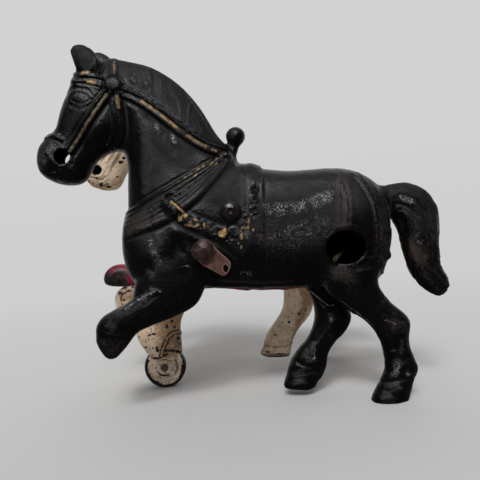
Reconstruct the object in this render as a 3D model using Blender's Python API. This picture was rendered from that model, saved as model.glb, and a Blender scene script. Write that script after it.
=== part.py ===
# Cast-iron toy draught team: two harnessed horses side by side on one pole.
# Front is -X, rear is +X, the near horse stands at -Y, the off horse at +Y, up is +Z.
# Lengths in the tables are millimetres unless they are drawing units (see sheet()).
import math

import bmesh
import bpy
import numpy as np
from mathutils import Vector

# ---------------------------------------------------------------- driving dimensions
MM = 0.001
EYE = 216.0            # distance from the eye point of the side drawing to the team's centre plane
SHEET = 514.7          # drawing units per unit of slope seen from the eye point
MID = 240.0            # centre of the side drawing, in drawing units
ROLL = math.radians(4.6)   # the drawing lies 4.6 degrees nose-down against the standing team
LIFT = 60.12           # drawing centre above the floor
SHIFT = -1.9           # drawing centre along X
HORSE_Y = 28.0         # each horse's split plane from the centre plane
GAP = 0.3              # gap between touching pieces
WALL = 2.6             # thickness of the cast shells
VOXEL = 1.15           # grid used to merge the modelled masses of a horse
HALF_TRIS = 1450       # faces aimed at in each cast half

PIN_R = 1.6            # long cross pin
PIN_XY = (202.5, 249.5)
RIVET_R = 1.3          # body rivets
RIVET_XY = (230.5, 211.0)
LINK_T = 1.0           # trace link plate
LINK_LEN = 10.0
WHEEL_R = 8.75
WHEEL_Y = (3.2, 7.6)
WHEEL_XY = (165.0, 367.0)
WHEEL_D = 219.5
AXLE_R = 1.3
POLE_T = 4.4           # pole thickness across


def sheet(x, y, depth):
    """Drawing units on the plane at that distance from the eye -> standing X, Z in mm."""
    u, v = (x - MID) * depth / SHEET, (MID - y) * depth / SHEET
    return (u * math.cos(ROLL) + v * math.sin(ROLL) + SHIFT,
            -u * math.sin(ROLL) + v * math.cos(ROLL) + LIFT)


# ---------------------------------------------------------------- outlines of one horse
# Each row: upper or front edge x, y, then lower or rear edge x, y, in drawing units,
# then the half width and the offset from the horse's split plane, in mm.
TORSO = [
    (125, 232, 126, 256, 5.0, 0), (129, 219, 130, 272, 8.4, 0), (139, 205, 138, 284, 10.6, 0),
    (155, 192, 152, 289, 11.8, 0), (178, 177, 174, 290, 12.4, 0), (205, 164, 205, 288, 12.7, 0),
    (235, 163, 238, 286, 12.7, 0), (265, 170, 265, 286, 12.7, 0), (300, 171, 298, 286, 12.7, 0),
    (328, 169, 324, 288, 12.8, 0), (350, 171, 350, 290, 12.6, 0), (368, 179, 370, 284, 11.4, 0),
    (379, 190, 381, 272, 9.0, 0), (385, 205, 386, 256, 6.0, 0), (387, 219, 388, 242, 3.0, 0),
]
NECK = [
    (237, 167, 160, 270, 9.5, 0), (229, 150, 128, 236, 9.6, 0), (216, 135, 129, 208, 8.6, 0),
    (199, 108, 129, 186, 7.8, 0), (178, 85, 129, 168, 7.2, 0), (152, 69, 125, 153, 6.8, 0),
    (130, 63, 112, 149, 6.6, 0), (110, 60, 100, 146, 6.2, 0), (98, 64, 92, 130, 5.0, 0),
]
HEAD = [
    (104, 62, 131, 112, 4.5, 0), (92, 62, 126, 132, 6.2, 0), (80, 70, 117, 148, 7.2, 0),
    (73, 84, 108, 154, 7.3, 0), (68, 96, 101, 158, 6.9, 0), (62, 113, 94, 165, 6.3, 0),
    (56, 130, 90, 174, 6.3, 0), (47, 138, 84, 182, 6.9, 0), (41, 148, 74, 185, 7.0, 0),
    (39.5, 160, 61, 184, 6.2, 0), (41.5, 170, 51, 180, 4.4, 0), (44, 174, 47, 177.5, 1.6, 0),
]
EAR = [
    (79, 77, 102, 74, 2.0, 5.0), (75.5, 64, 101, 63, 2.6, 5.0), (72, 55, 96, 55, 2.4, 5.0),
    (71, 48, 90, 49, 1.8, 5.0), (75, 45, 83, 44.5, 0.9, 5.0),
]
TAIL = [
    (370, 183, 376, 210, 3.4, 0), (382, 186, 387, 213, 4.0, 0), (393, 184, 391, 218, 4.4, 0),
    (408, 183, 396, 224, 4.8, 0), (424, 189, 399, 231, 5.0, 0), (435, 204, 401, 241, 5.0, 0),
    (438, 222, 403, 252, 5.0, 0), (438, 240, 406, 262, 4.8, 0), (438, 256, 411, 273, 4.4, 0),
    (443, 270, 418, 283, 4.0, 0), (448, 282, 427, 291, 3.2, 0), (448, 290, 437, 297, 1.6, 0),
]
STALK = [(228, 166, 238, 167, 1.9, 0), (229, 156, 237, 157, 1.9, 0), (231, 147, 238, 148, 1.7, 0),
         (233, 139, 239, 140, 1.6, 0)]
NEAR_FORE = [   # raised foreleg on the outer side
    (150, 258, 214, 256, 4.4, 0), (136, 283, 206, 284, 5.2, 0), (133, 299, 196, 304, 5.0, 0),
    (124, 305, 175, 316, 4.6, 0), (113, 311, 150, 326, 4.2, 0), (103, 317, 138, 332, 4.2, 0),
    (97, 327, 132, 339, 4.1, 0), (97, 340, 126, 347, 3.6, 0), (102, 351, 119, 355, 3.0, 0),
    (109, 359, 114, 359, 1.3, 0),
]
NEAR_HIND = [   # rearmost hind leg on the outer side, its sole on the floor
    (322, 255, 388, 236, 4.6, 0), (324, 286, 383, 262, 5.4, 0), (338, 300, 377, 280, 5.3, 0),
    (351, 311, 384, 296, 4.9, 0), (365, 320, 398, 309, 4.5, 0), (375, 331, 409, 320, 4.4, 0),
    (382, 344, 408, 337, 4.0, 0), (385, 356, 411, 352, 3.8, 0), (386, 367, 417, 366, 4.3, 0),
    (382, 377, 414, 376, 4.0, 0), (377, 387, 411, 387, 4.4, 0), (373, 396, 408, 396, 4.8, 0),
    (372, 404, 406, 404.5, 4.9, 0),
]
NEAR_HIND_IN = [   # hind leg on the inner side, carried just clear of the floor
    (306, 258, 356, 256, 4.8, 0), (307, 286, 352, 290, 5.0, 0), (313, 301, 348, 306, 4.8, 0),
    (315, 314, 351, 316, 4.7, 0), (313, 326, 346, 329, 4.3, 0), (307, 339, 335, 341, 3.8, 0),
    (297, 351, 328, 352, 3.7, 0), (290, 363, 326, 364, 4.2, 0), (288, 371, 322, 376, 4.0, 0),
    (285, 380, 317, 381, 4.4, 0), (283, 387, 315, 387.5, 4.7, 0),
]
NEAR_FORE_IN = [   # raised foreleg on the inner side, behind the outer one
    (158, 258, 205, 258, 4.4, 0), (146, 283, 197, 284, 5.0, 0), (140, 298, 186, 303, 4.8, 0),
    (131, 307, 168, 314, 4.4, 0), (119, 314, 148, 323, 4.0, 0), (109, 320, 136, 329, 4.0, 0),
    (103, 329, 130, 336, 3.8, 0), (103, 340, 123, 344, 3.3, 0), (107, 349, 117, 351, 2.6, 0),
    (110, 354, 113, 354, 1.2, 0),
]
OFF_HIND_IN = [
    (285, 262, 328, 262, 4.8, 0), (284, 288, 315, 291, 4.9, 0), (284, 302, 313, 304, 4.6, 0),
    (281, 312, 309, 315, 4.4, 0), (275, 322, 301, 325, 3.9, 0), (268, 332, 294, 335, 3.7, 0),
    (265, 340, 293, 341, 4.1, 0), (262, 348, 291, 348.5, 4.4, 0), (260, 355, 289, 355.5, 4.6, 0),
]
OFF_HIND = [
    (290, 252, 336, 238, 4.8, 0), (296, 272, 337, 262, 5.3, 0), (304, 287, 338, 282, 5.1, 0),
    (312, 300, 340, 298, 4.6, 0), (317, 314, 344, 314, 4.4, 0), (317, 326, 341, 328, 3.9, 0),
    (312, 338, 333, 340, 3.6, 0), (304, 348, 327, 349, 3.8, 0), (299, 355, 324, 356, 4.2, 0),
    (295, 361.5, 321, 362, 4.5, 0),
]
OFF_FORE = [
    (152, 255, 196, 255, 4.6, 0), (144, 272, 190, 281, 5.0, 0), (134, 281, 172, 298, 4.8, 0),
    (124, 286, 155, 305, 4.4, 0), (116, 294, 140, 309, 4.2, 0), (116, 304, 134, 315, 3.8, 0),
    (118, 315, 130, 321, 3.2, 0), (118, 327, 126, 329, 2.6, 0), (118, 334, 122, 335, 1.4, 0),
]
WHEEL_LEG = [   # foreleg of the off horse that leans in to the wheel; last number is its own Y
    (165, 258, 205, 256, 4.8, 20.5), (153, 285, 198, 288, 5.2, 17.5), (144, 303, 190, 306, 5.4, 13.0),
    (138, 320, 184, 322, 5.5, 9.0), (137, 334, 182.5, 335, 5.5, 7.0), (142, 345, 182.5, 346, 5.5, 6.5),
    (147, 351, 182, 352, 5.4, 6.5), (149, 357, 181, 358, 5.2, 6.5),
]


# ---------------------------------------------------------------- mesh helpers
def smooth_rows(rows, sub):
    """Extra rows on a smooth curve through the given ones."""
    r = np.array(rows, float)
    pad = np.vstack([2 * r[0] - r[1], r, 2 * r[-1] - r[-2]])
    out = []
    for i in range(1, len(pad) - 2):
        p0, p1, p2, p3 = pad[i - 1], pad[i], pad[i + 1], pad[i + 2]
        for k in range(sub):
            t = k / sub
            out.append(0.5 * (2 * p1 + (p2 - p0) * t + (2 * p0 - 5 * p1 + 4 * p2 - p3) * t * t
                              + (3 * p1 - p0 - 3 * p2 + p3) * t ** 3))
    out.append(r[-1])
    return np.array(out)


def ring_mesh(bm, rings):
    """Closes a list of equal rings of points into one solid."""
    vs = [[bm.verts.new(p) for p in ring] for ring in rings]
    n = len(vs[0])
    for a, b in zip(vs[:-1], vs[1:]):
        for i in range(n):
            j = (i + 1) % n
            bm.faces.new((a[i], a[j], b[j], b[i]))
    bm.faces.new(list(reversed(vs[0])))
    bm.faces.new(vs[-1])


def loft(bm, rows, y0, side=1, warp=None, inset=0.0, seg=20, sub=3, own_y=False, power=2.25):
    """warp also says that the outline is read off the near horse's plane."""
    # closed mass between two outlines; side mirrors the offset column
    rows = smooth_rows(rows, sub)
    rings = []
    for xt, yt, xb, yb, w, off in rows:
        y = off if own_y else y0 + side * off
        d = EYE - HORSE_Y if warp else EYE + y
        top, bot = sheet(xt, yt, d), sheet(xb, yb, d)
        if warp:
            top, bot = warp(top), warp(bot)
        cx, cz = (top[0] + bot[0]) / 2, (top[1] + bot[1]) / 2
        hx, hz = (top[0] - bot[0]) / 2, (top[1] - bot[1]) / 2
        h = math.hypot(hx, hz)
        k = max(h - inset, 0.3) / h
        ww = max(w - inset, 0.3)
        ring = []
        for i in range(seg):
            a = 2 * math.pi * i / seg
            s = math.copysign(abs(math.sin(a)) ** (2 / power), math.sin(a)) * k
            c = math.copysign(abs(math.cos(a)) ** (2 / power), math.cos(a)) * ww
            ring.append(Vector((cx + hx * s, y + c, cz + hz * s)) * MM)
        rings.append(ring)
    ring_mesh(bm, rings)


def ball(bm, centre, radius, stretch=(1, 1, 1)):
    made = bmesh.ops.create_icosphere(bm, subdivisions=3, radius=1.0)
    for v in made["verts"]:
        v.co = Vector([(centre[i] + v.co[i] * radius * stretch[i]) * MM for i in range(3)])


def fix_normals(bm):
    bmesh.ops.recalc_face_normals(bm, faces=bm.faces)


def bm_object(name, bm, smooth=True):
    me = bpy.data.meshes.new(name)
    bm.to_mesh(me)
    bm.free()
    ob = bpy.data.objects.new(name, me)
    bpy.context.scene.collection.objects.link(ob)
    if smooth:
        me.shade_smooth()
        me.set_sharp_from_angle(angle=math.radians(40))
    return ob


def baked(ob):
    """Applies the object's modifiers to its mesh."""
    dg = bpy.context.evaluated_depsgraph_get()
    me = bpy.data.meshes.new_from_object(ob.evaluated_get(dg))
    ob.modifiers.clear()
    ob.data = me
    return ob


def cut(ob, other, op="DIFFERENCE"):
    m = ob.modifiers.new("cut", "BOOLEAN")
    m.operation, m.solver, m.object = op, "EXACT", other
    baked(ob)
    bpy.data.objects.remove(other)
    return ob


def slab(name, lo, hi):
    bm = bmesh.new()
    bmesh.ops.create_cube(bm, size=1.0)
    for v in bm.verts:
        v.co = Vector([((lo[i] + hi[i]) / 2 + v.co[i] * (hi[i] - lo[i])) * MM for i in range(3)])
    return bm_object(name, bm, False)


def rod_y(name, x, z, y0, y1, r, seg=24, rz=None):
    """Round or oval bar along Y."""
    rz = rz or r
    bm = bmesh.new()
    rings = [[Vector((x + r * math.cos(2 * math.pi * i / seg), y, z + rz * math.sin(2 * math.pi * i / seg))) * MM
              for i in range(seg)] for y in (y0, y1)]
    ring_mesh(bm, rings)
    fix_normals(bm)
    return bm_object(name, bm, False)


def turned(name, profile, x, z, seg=28, smooth=True):
    """Solid of revolution about the Y axis through x, z. profile: (y, radius) from one end to the other."""
    bm = bmesh.new()
    rings = []
    for y, r in profile:
        rings.append([Vector((r * math.cos(2 * math.pi * i / seg), y, r * math.sin(2 * math.pi * i / seg))) * MM
                      for i in range(seg)])
    ring_mesh(bm, rings)
    fix_normals(bm)
    ob = bm_object(name, bm, smooth)
    ob.location = Vector((x, 0, z)) * MM
    return ob


def dome(y_base, y_top, r, rim=0.5, n=4):
    """Rivet head profile from its flat underside to its crown."""
    s = 1 if y_top > y_base else -1
    h = abs(y_top - y_base) - rim
    rows = [(y_base, r), (y_base + s * rim, r)]
    for i in range(1, n + 1):
        a = math.pi / 2 * i / n
        rows.append((y_base + s * (rim + h * math.sin(a)), max(r * math.cos(a), 0.25)))
    return rows


# ---------------------------------------------------------------- start from an empty scene
for old in list(bpy.data.objects):
    bpy.data.objects.remove(old)

team = bpy.data.objects.new("team", None)
bpy.context.scene.collection.objects.link(team)


def material(name, rgb, rough, metal):
    m = bpy.data.materials.new(name)
    m.use_nodes = True
    b = m.node_tree.nodes["Principled BSDF"]
    b.inputs["Base Color"].default_value = (*rgb, 1)
    b.inputs["Roughness"].default_value = rough
    b.inputs["Metallic"].default_value = metal
    return m


COLOURS = {
    "near_horse_outer_half": ((0.018, 0.017, 0.018), 0.42, 0.1),
    "near_horse_inner_half": ((0.018, 0.017, 0.018), 0.42, 0.1),
    "near_horse_rivet": ((0.02, 0.018, 0.018), 0.4, 0.2),
    "near_trace_link": ((0.11, 0.055, 0.045), 0.5, 0.6),
    "cross_pin": ((0.09, 0.05, 0.045), 0.45, 0.7),
    "near_pole_sleeve": ((0.1, 0.06, 0.05), 0.55, 0.6),
    "off_pole_sleeve": ((0.1, 0.06, 0.05), 0.55, 0.6),
    "pole": ((0.32, 0.012, 0.03), 0.4, 0.1),
    "off_horse_inner_half": ((0.58, 0.46, 0.33), 0.5, 0.0),
    "off_horse_outer_half": ((0.58, 0.46, 0.33), 0.5, 0.0),
    "off_horse_rivet": ((0.55, 0.44, 0.32), 0.5, 0.1),
    "off_trace_link": ((0.11, 0.055, 0.045), 0.5, 0.6),
    "front_wheel": ((0.55, 0.45, 0.33), 0.5, 0.1),
    "wheel_axle": ((0.14, 0.1, 0.08), 0.45, 0.7),
    "haunch_rod": ((0.42, 0.33, 0.16), 0.5, 0.3),
}


def finish(ob, parent=team):
    rgb, rough, metal = COLOURS[ob.name]
    ob.data.materials.clear()
    ob.data.materials.append(material("finish_" + ob.name, rgb, rough, metal))
    ob.parent = parent
    return ob


# ---------------------------------------------------------------- one cast horse
def off_warp(p):
    """The off horse is cast a little shorter and carries its head higher."""
    x, z = p
    return -64.0 + (x + 64.0) * 0.945, z + 3.5


def horse_mass(y0, side, warp, legs, ball_r=3.45):
    """All masses of one horse, overlapping, before they are merged."""
    bm = bmesh.new()
    loft(bm, TORSO, y0, warp=warp, seg=28)
    loft(bm, NECK, y0, warp=warp, seg=24)
    loft(bm, HEAD, y0, warp=warp, seg=24)
    tail_warp = warp
    if warp:
        tail_warp = lambda p: (warp(p)[0] - 3.0 * min(max((p[0] - 50) / 20, 0), 1), warp(p)[1])
    loft(bm, TAIL, y0, warp=tail_warp)
    for s in (-1, 1):
        loft_ear(bm, [r[:5] + (s * r[5],) for r in EAR], y0, warp)
    knob_warp = (lambda p: (warp(p)[0] - 1.5, warp(p)[1] - 3.0)) if warp else None
    loft(bm, STALK, y0, warp=knob_warp, seg=12)
    kx, kz = sheet(235.5, 136.5, EYE - HORSE_Y)
    if warp:
        kx, kz = knob_warp((kx, kz))
    ball(bm, (kx, y0, kz), ball_r)
    for rows, y, own in legs:
        loft(bm, rows, y, own_y=own)
    fix_normals(bm)
    return bm


def loft_ear(bm, rows, y0, warp):
    """Ears stand either side of the split plane; their outline is the near horse's."""
    shifted = smooth_rows(rows, 3)
    rings = []
    for xt, yt, xb, yb, w, off in shifted:
        d = EYE - HORSE_Y + (-5.0)
        top, bot = sheet(xt, yt, d), sheet(xb, yb, d)
        if warp:
            top, bot = warp(top), warp(bot)
        cx, cz = (top[0] + bot[0]) / 2, (top[1] + bot[1]) / 2
        hx, hz = (top[0] - bot[0]) / 2, (top[1] - bot[1]) / 2
        rings.append([Vector((cx + hx * math.sin(a), y0 + off + w * math.cos(a), cz + hz * math.sin(a))) * MM
                      for a in (2 * math.pi * i / 14 for i in range(14))])
    ring_mesh(bm, rings)


def merged(name, bm, voxel, tris, rounds=3):
    """One skin around all the masses."""
    ob = bm_object(name, bm, False)
    m = ob.modifiers.new("merge", "REMESH")
    m.mode, m.voxel_size, m.adaptivity = "VOXEL", voxel * MM, 0.0
    s = ob.modifiers.new("ease", "SMOOTH")
    s.factor, s.iterations = 0.5, rounds
    g = ob.modifiers.new("grow", "DISPLACE")
    g.strength, g.mid_level = 0.2 * MM, 0.0
    baked(ob)
    if tris:
        count = sum(len(p.vertices) - 2 for p in ob.data.polygons)
        d = ob.modifiers.new("thin", "DECIMATE")
        d.ratio = tris / count
        baked(ob)
    return ob


def core(name, y0, warp):
    """The hollow inside the barrel and the root of the neck."""
    bm = bmesh.new()
    loft(bm, TORSO[1:-1], y0, warp=warp, inset=WALL, seg=16, sub=1, power=2.1)
    fix_normals(bm)
    return bm_object(name, bm, False)


def copy_of(ob, name):
    c = ob.copy()
    c.data = ob.data.copy()
    c.name = name
    bpy.context.scene.collection.objects.link(c)
    return c


def halves(whole, y0, warp, names, holes):
    """Splits the skin on its middle plane and hollows and drills each half."""
    done = []
    for name, lo, hi in ((names[0], y0 - 40, y0 - GAP / 2), (names[1], y0 + GAP / 2, y0 + 40)):
        half = copy_of(whole, name)
        cut(half, slab("box", (-120, lo, 0.0), (120, hi, 200)), "INTERSECT")
        cut(half, core("core", y0, warp))
        for x, z, a, b, r, rz in holes:
            if b > lo and a < hi:
                cut(half, rod_y("drill", x, z, a, b, r, 20, rz))
        done.append(half)
    bpy.data.objects.remove(whole)
    return done


D_NEAR = EYE - HORSE_Y - 13.0      # outer flank of the near horse
pin_x, pin_z = sheet(*PIN_XY, D_NEAR - 2)
riv_x, riv_z = sheet(*RIVET_XY, D_NEAR)
hole_x, hole_z = sheet(345.5, 245.0, D_NEAR + 1)
bit_x, bit_z = sheet(61.0, 157.0, EYE - HORSE_Y - 7.0)
obit_x, obit_z = sheet(97.0, 170.0, EYE + HORSE_Y - 7.0)
oriv_x, oriv_z = off_warp((riv_x, riv_z))
whl_x, whl_z = sheet(*WHEEL_XY, WHEEL_D)

# near horse
y0 = -HORSE_Y
mass = horse_mass(y0, -1, None, [(NEAR_FORE, y0 - 7, False), (NEAR_HIND, y0 - 7, False),
                                 (NEAR_FORE_IN, y0 + 7, False), (NEAR_HIND_IN, y0 + 7, False)])
whole = merged("near_horse", mass, VOXEL, HALF_TRIS * 2)
near_halves = halves(whole, y0, None, ("near_horse_outer_half", "near_horse_inner_half"), [
    (pin_x, pin_z, y0 - 30, y0 + 30, PIN_R + GAP, None),
    (riv_x, riv_z, y0 - 30, y0 + 30, RIVET_R + GAP, None),
    (bit_x, bit_z, y0 - 30, y0 + 30, 2.45, None),
    (hole_x, hole_z, y0 - 30, y0 - 4, 7.0, 5.8),
])
for h in near_halves:
    finish(h)

# off horse
y0 = HORSE_Y
mass = horse_mass(y0, 1, off_warp, [(OFF_HIND_IN, y0 - 7, False), (OFF_HIND, y0 + 7, False),
                                    (OFF_FORE, y0 + 7, False), (WHEEL_LEG, 0, True)])
# plate behind the wheel that holds its axle
bx, bz = whl_x, whl_z
plate = [(bx - 5.2, bz + 9.5), (bx - 4.4, bz + 2.0), (bx - 3.0, bz - 3.2), (bx, bz - 4.6),
         (bx + 3.0, bz - 3.2), (bx + 4.4, bz + 2.0), (bx + 6.0, bz + 9.5)]
rings = [[Vector((px, py, pz)) * MM for px, pz in plate] for py in (8.2, 11.6)]
ring_mesh(mass, rings)
fix_normals(mass)
whole = merged("off_horse", mass, VOXEL, HALF_TRIS * 2)
# slot for the wheel
cut(whole, rod_y("slot", whl_x, whl_z, WHEEL_Y[0] - 0.4, WHEEL_Y[1] + 0.4, WHEEL_R + 0.5, 32))
cut(whole, rod_y("hub_room", whl_x, whl_z, -4.0, WHEEL_Y[0], 4.0, 24))
off_halves = halves(whole, y0, off_warp, ("off_horse_inner_half", "off_horse_outer_half"), [
    (pin_x, pin_z, y0 - 30, y0 + 30, PIN_R + GAP, None),
    (oriv_x, oriv_z, y0 - 30, y0 + 30, RIVET_R + GAP, None),
    (obit_x, obit_z, y0 - 30, y0 + 30, 2.06, None),
    (whl_x, whl_z, -1, 16, AXLE_R + 0.3, None),
])
for h in off_halves:
    finish(h)

# ---------------------------------------------------------------- rivets, pins, links
FLANK = HORSE_Y + 12.9             # outer face of each barrel from the centre plane
link_in = FLANK + 0.4              # inner face of the trace link
head_in = link_in + LINK_T + GAP   # underside of the pin's head

near_rivet = turned("near_horse_rivet",
                    list(reversed(dome(-FLANK - 0.1, -FLANK - 2.6, 3.2)))
                    + [(-FLANK - 0.1, RIVET_R), (-HORSE_Y + 13.1, RIVET_R)]
                    + dome(-HORSE_Y + 13.1, -HORSE_Y + 14.5, 2.4, 0.4, 3), riv_x, riv_z, 16)
finish(near_rivet)
off_rivet = turned("off_horse_rivet",
                   list(reversed(dome(HORSE_Y - 13.1, HORSE_Y - 14.5, 2.4, 0.4, 3)))
                   + [(HORSE_Y - 13.1, RIVET_R), (FLANK + 0.1, RIVET_R)]
                   + dome(FLANK + 0.1, FLANK + 2.6, 3.2), oriv_x, oriv_z, 16)
finish(off_rivet)
pin = turned("cross_pin",
             list(reversed(dome(-head_in, -head_in - 2.6, 3.5)))
             + [(-head_in, PIN_R), (head_in, PIN_R)]
             + dome(head_in, head_in + 2.6, 3.5), pin_x, pin_z, 18)
finish(pin)


def sleeve(name, a, b):
    ob = turned(name, [(a, 4.0), (a + 0.3, 4.3), (b - 0.3, 4.3), (b, 4.0)], pin_x, pin_z, 24)
    bpy.context.view_layer.update()
    c = rod_y("bore", 0, 0, a - 2, b + 2, PIN_R + GAP, 24)
    c.location = ob.location
    bpy.context.view_layer.update()
    cut(ob, c)
    return finish(ob)


sleeve("near_pole_sleeve", -HORSE_Y + 13.0, -POLE_T / 2 - GAP)
sleeve("off_pole_sleeve", POLE_T / 2 + GAP, HORSE_Y - 13.0)


def trace_link(name, a, b, angle):
    """Pear-shaped plate hanging on the cross pin, with a small hole in its free end."""
    big, small, n = 3.8, 2.5, 16
    pts = []
    tilt = math.acos((big - small) / LINK_LEN)
    for i in range(n + 1):
        t = tilt + (2 * math.pi - 2 * tilt) * i / n
        pts.append((big * math.cos(t), big * math.sin(t)))
    for i in range(n // 2 + 1):
        t = -tilt + 2 * tilt * i / (n // 2)
        pts.append((LINK_LEN + small * math.cos(t), small * math.sin(t)))
    ca, sa = math.cos(angle), math.sin(angle)
    bm = bmesh.new()
    ring_mesh(bm, [[Vector((x * ca - z * sa, y, x * sa + z * ca)) * MM for x, z in pts] for y in (a, b)])
    fix_normals(bm)
    ob = bm_object(name, bm)
    cut(ob, rod_y("bore", 0, 0, a - 2, b + 2, PIN_R + GAP, 20))
    cut(ob, rod_y("eye", LINK_LEN * ca, LINK_LEN * sa, a - 2, b + 2, 1.1, 14))
    ob.location = Vector((pin_x, 0, pin_z)) * MM
    return finish(ob)


LINK_DIR = math.radians(-45.5)
trace_link("near_trace_link", -link_in - LINK_T, -link_in, LINK_DIR)
trace_link("off_trace_link", link_in, link_in + LINK_T, LINK_DIR)

# ---------------------------------------------------------------- wheel
a, b = WHEEL_Y
wheel = turned("front_wheel", [
    (a - 0.7, 1.65), (a - 0.7, 3.1), (a - 0.3, 3.4), (a + 0.5, 3.5), (a + 0.5, 7.0), (a, 7.5),
    (a, WHEEL_R - 0.4), (a + 0.5, WHEEL_R), (b - 0.5, WHEEL_R), (b, WHEEL_R - 0.4),
    (b, 7.5), (b - 0.5, 7.0), (b - 0.5, 3.5), (b + 0.1, 3.3), (b + 0.1, 1.65)], whl_x, whl_z, 30)
bore = rod_y("bore", 0, 0, a - 3, b + 3, AXLE_R + 0.08, 24)
bore.location = wheel.location
bpy.context.view_layer.update()
cut(wheel, bore)
finish(wheel)
axle = turned("wheel_axle", list(reversed(dome(a - 1.0, a - 2.0, 1.9, 0.3, 3)))
              + [(a - 1.0, AXLE_R), (12.3, AXLE_R)] + dome(12.3, 13.3, 2.2, 0.3, 3), whl_x, whl_z, 16)
finish(axle)

# ---------------------------------------------------------------- pole
# Bar of rectangular section between the horses, an egg-shaped nose, an upright eye on the
# cross pin and a flat hitch tongue with a hole at the rear.
POLE_BAR = [   # top x, y, bottom x, y, half width
    (105.5, 272, 105.5, 279, 1.2, 0), (109, 267.5, 109, 283, 3.2, 0), (116, 264.5, 116, 285.5, 4.3, 0),
    (124, 264.5, 124, 286, 4.4, 0), (132, 267, 132, 285.5, 3.9, 0), (141, 270, 141, 285, 2.8, 0),
    (152, 271, 152, 286, 2.2, 0), (180, 271, 180, 287, 2.2, 0), (210, 271, 210, 287.5, 2.2, 0),
    (250, 271, 250, 287.5, 2.2, 0), (300, 272, 300, 287, 2.2, 0), (336, 273, 336, 285, 2.2, 0),
]
bm = bmesh.new()
loft(bm, POLE_BAR, 0, seg=14, sub=1, power=3.2)
fix_normals(bm)
pole = bm_object("pole", bm)
rx, rz = sheet(336, 279, EYE)
eye = turned("eye", [(-2.2, 6.3), (2.2, 6.3)], pin_x, pin_z, 24, False)
bpy.context.view_layer.update()
cut(pole, eye, "UNION")
web_low, web_top = sheet(202, 279, EYE)[1], pin_z
cut(pole, slab("web", (pin_x - 5.0, -1.9, web_low), (pin_x + 5.0, 1.9, web_top)), "UNION")
cut(pole, slab("tongue", (rx - 6, -4.6, rz - 1.7), (rx + 7, 4.6, rz + 1.7)), "UNION")
bore = rod_y("bore", pin_x, pin_z, -10, 10, PIN_R + GAP, 24)
cut(pole, bore)
bm = bmesh.new()
ring_mesh(bm, [[Vector((rx + 2.6 + 2.3 * math.cos(2 * math.pi * i / 20), 2.3 * math.sin(2 * math.pi * i / 20), z)) * MM
                for i in range(20)] for z in (rz - 8, rz + 8)])
fix_normals(bm)
cut(pole, bm_object("hitch_hole", bm, False))
finish(pole)

# ---------------------------------------------------------------- rod in the near haunch
p0 = sheet(335, 259, EYE - 32.5)
p1 = sheet(347, 247, EYE - 20.8)
s0 = Vector((p0[0], -32.5, p0[1]))
s1 = Vector((p1[0], -20.8, p1[1]))
axis = (s1 - s0).normalized()
side_a = axis.cross(Vector((0, 1, 0))).normalized()
side_b = axis.cross(side_a)
bm = bmesh.new()
ring_mesh(bm, [[(c + (side_a * math.cos(2 * math.pi * i / 12) + side_b * math.sin(2 * math.pi * i / 12)) * 0.95) * MM
                for i in range(12)] for c in (s0, s1)])
fix_normals(bm)
finish(bm_object("haunch_rod", bm))
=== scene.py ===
# Looks of the cast-iron toy draught team: two harnessed horses side by side on one pole.
# Front is -X, rear is +X, the near (black) horse stands at -Y, the off (cream) horse at +Y.
import math

import bmesh
import bpy
import numpy as np
from mathutils import Matrix, Vector


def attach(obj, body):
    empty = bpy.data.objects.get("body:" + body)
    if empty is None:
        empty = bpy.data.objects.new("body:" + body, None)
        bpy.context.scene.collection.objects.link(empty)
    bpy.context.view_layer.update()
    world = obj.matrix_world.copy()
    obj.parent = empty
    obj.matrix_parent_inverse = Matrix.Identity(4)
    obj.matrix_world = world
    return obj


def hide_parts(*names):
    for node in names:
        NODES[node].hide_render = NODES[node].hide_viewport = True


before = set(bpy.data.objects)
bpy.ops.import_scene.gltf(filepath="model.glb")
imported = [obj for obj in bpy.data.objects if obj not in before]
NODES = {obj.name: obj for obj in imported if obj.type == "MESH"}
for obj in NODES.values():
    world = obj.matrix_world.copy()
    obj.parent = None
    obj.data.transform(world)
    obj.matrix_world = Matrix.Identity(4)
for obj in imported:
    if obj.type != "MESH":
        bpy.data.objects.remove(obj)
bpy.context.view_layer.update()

# ---------------------------------------------------------------- driving dimensions
MM = 0.001
EYE = 216.0            # distance from the eye point of the side drawing to the team's centre plane
SHEET = 514.7          # drawing units per unit of slope seen from the eye point
MID = 240.0            # centre of the side drawing, in drawing units
ROLL = math.radians(4.6)   # the drawing lies 4.6 degrees nose-down against the standing team
LIFT = 60.12           # drawing centre above the floor
SHIFT = -1.9           # drawing centre along X
HORSE_Y = 28.0         # each horse's split plane from the centre plane
GAP = 0.3              # gap between touching pieces
WALL = 2.6             # thickness of the cast shells
VOXEL = 1.15           # grid used to merge the modelled masses of a horse
HALF_TRIS = 1450       # faces aimed at in each cast half

PIN_R = 1.6            # long cross pin
PIN_XY = (202.5, 249.5)
RIVET_R = 1.3          # body rivets
RIVET_XY = (230.5, 211.0)
LINK_T = 1.0           # trace link plate
LINK_LEN = 10.0
WHEEL_R = 8.75
WHEEL_Y = (3.2, 7.6)
WHEEL_XY = (165.0, 367.0)
WHEEL_D = 219.5
AXLE_R = 1.3
POLE_T = 4.4           # pole thickness across


def sheet(x, y, depth):
    """Drawing units on the plane at that distance from the eye -> standing X, Z in mm."""
    u, v = (x - MID) * depth / SHEET, (MID - y) * depth / SHEET
    return (u * math.cos(ROLL) + v * math.sin(ROLL) + SHIFT,
            -u * math.sin(ROLL) + v * math.cos(ROLL) + LIFT)


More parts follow.
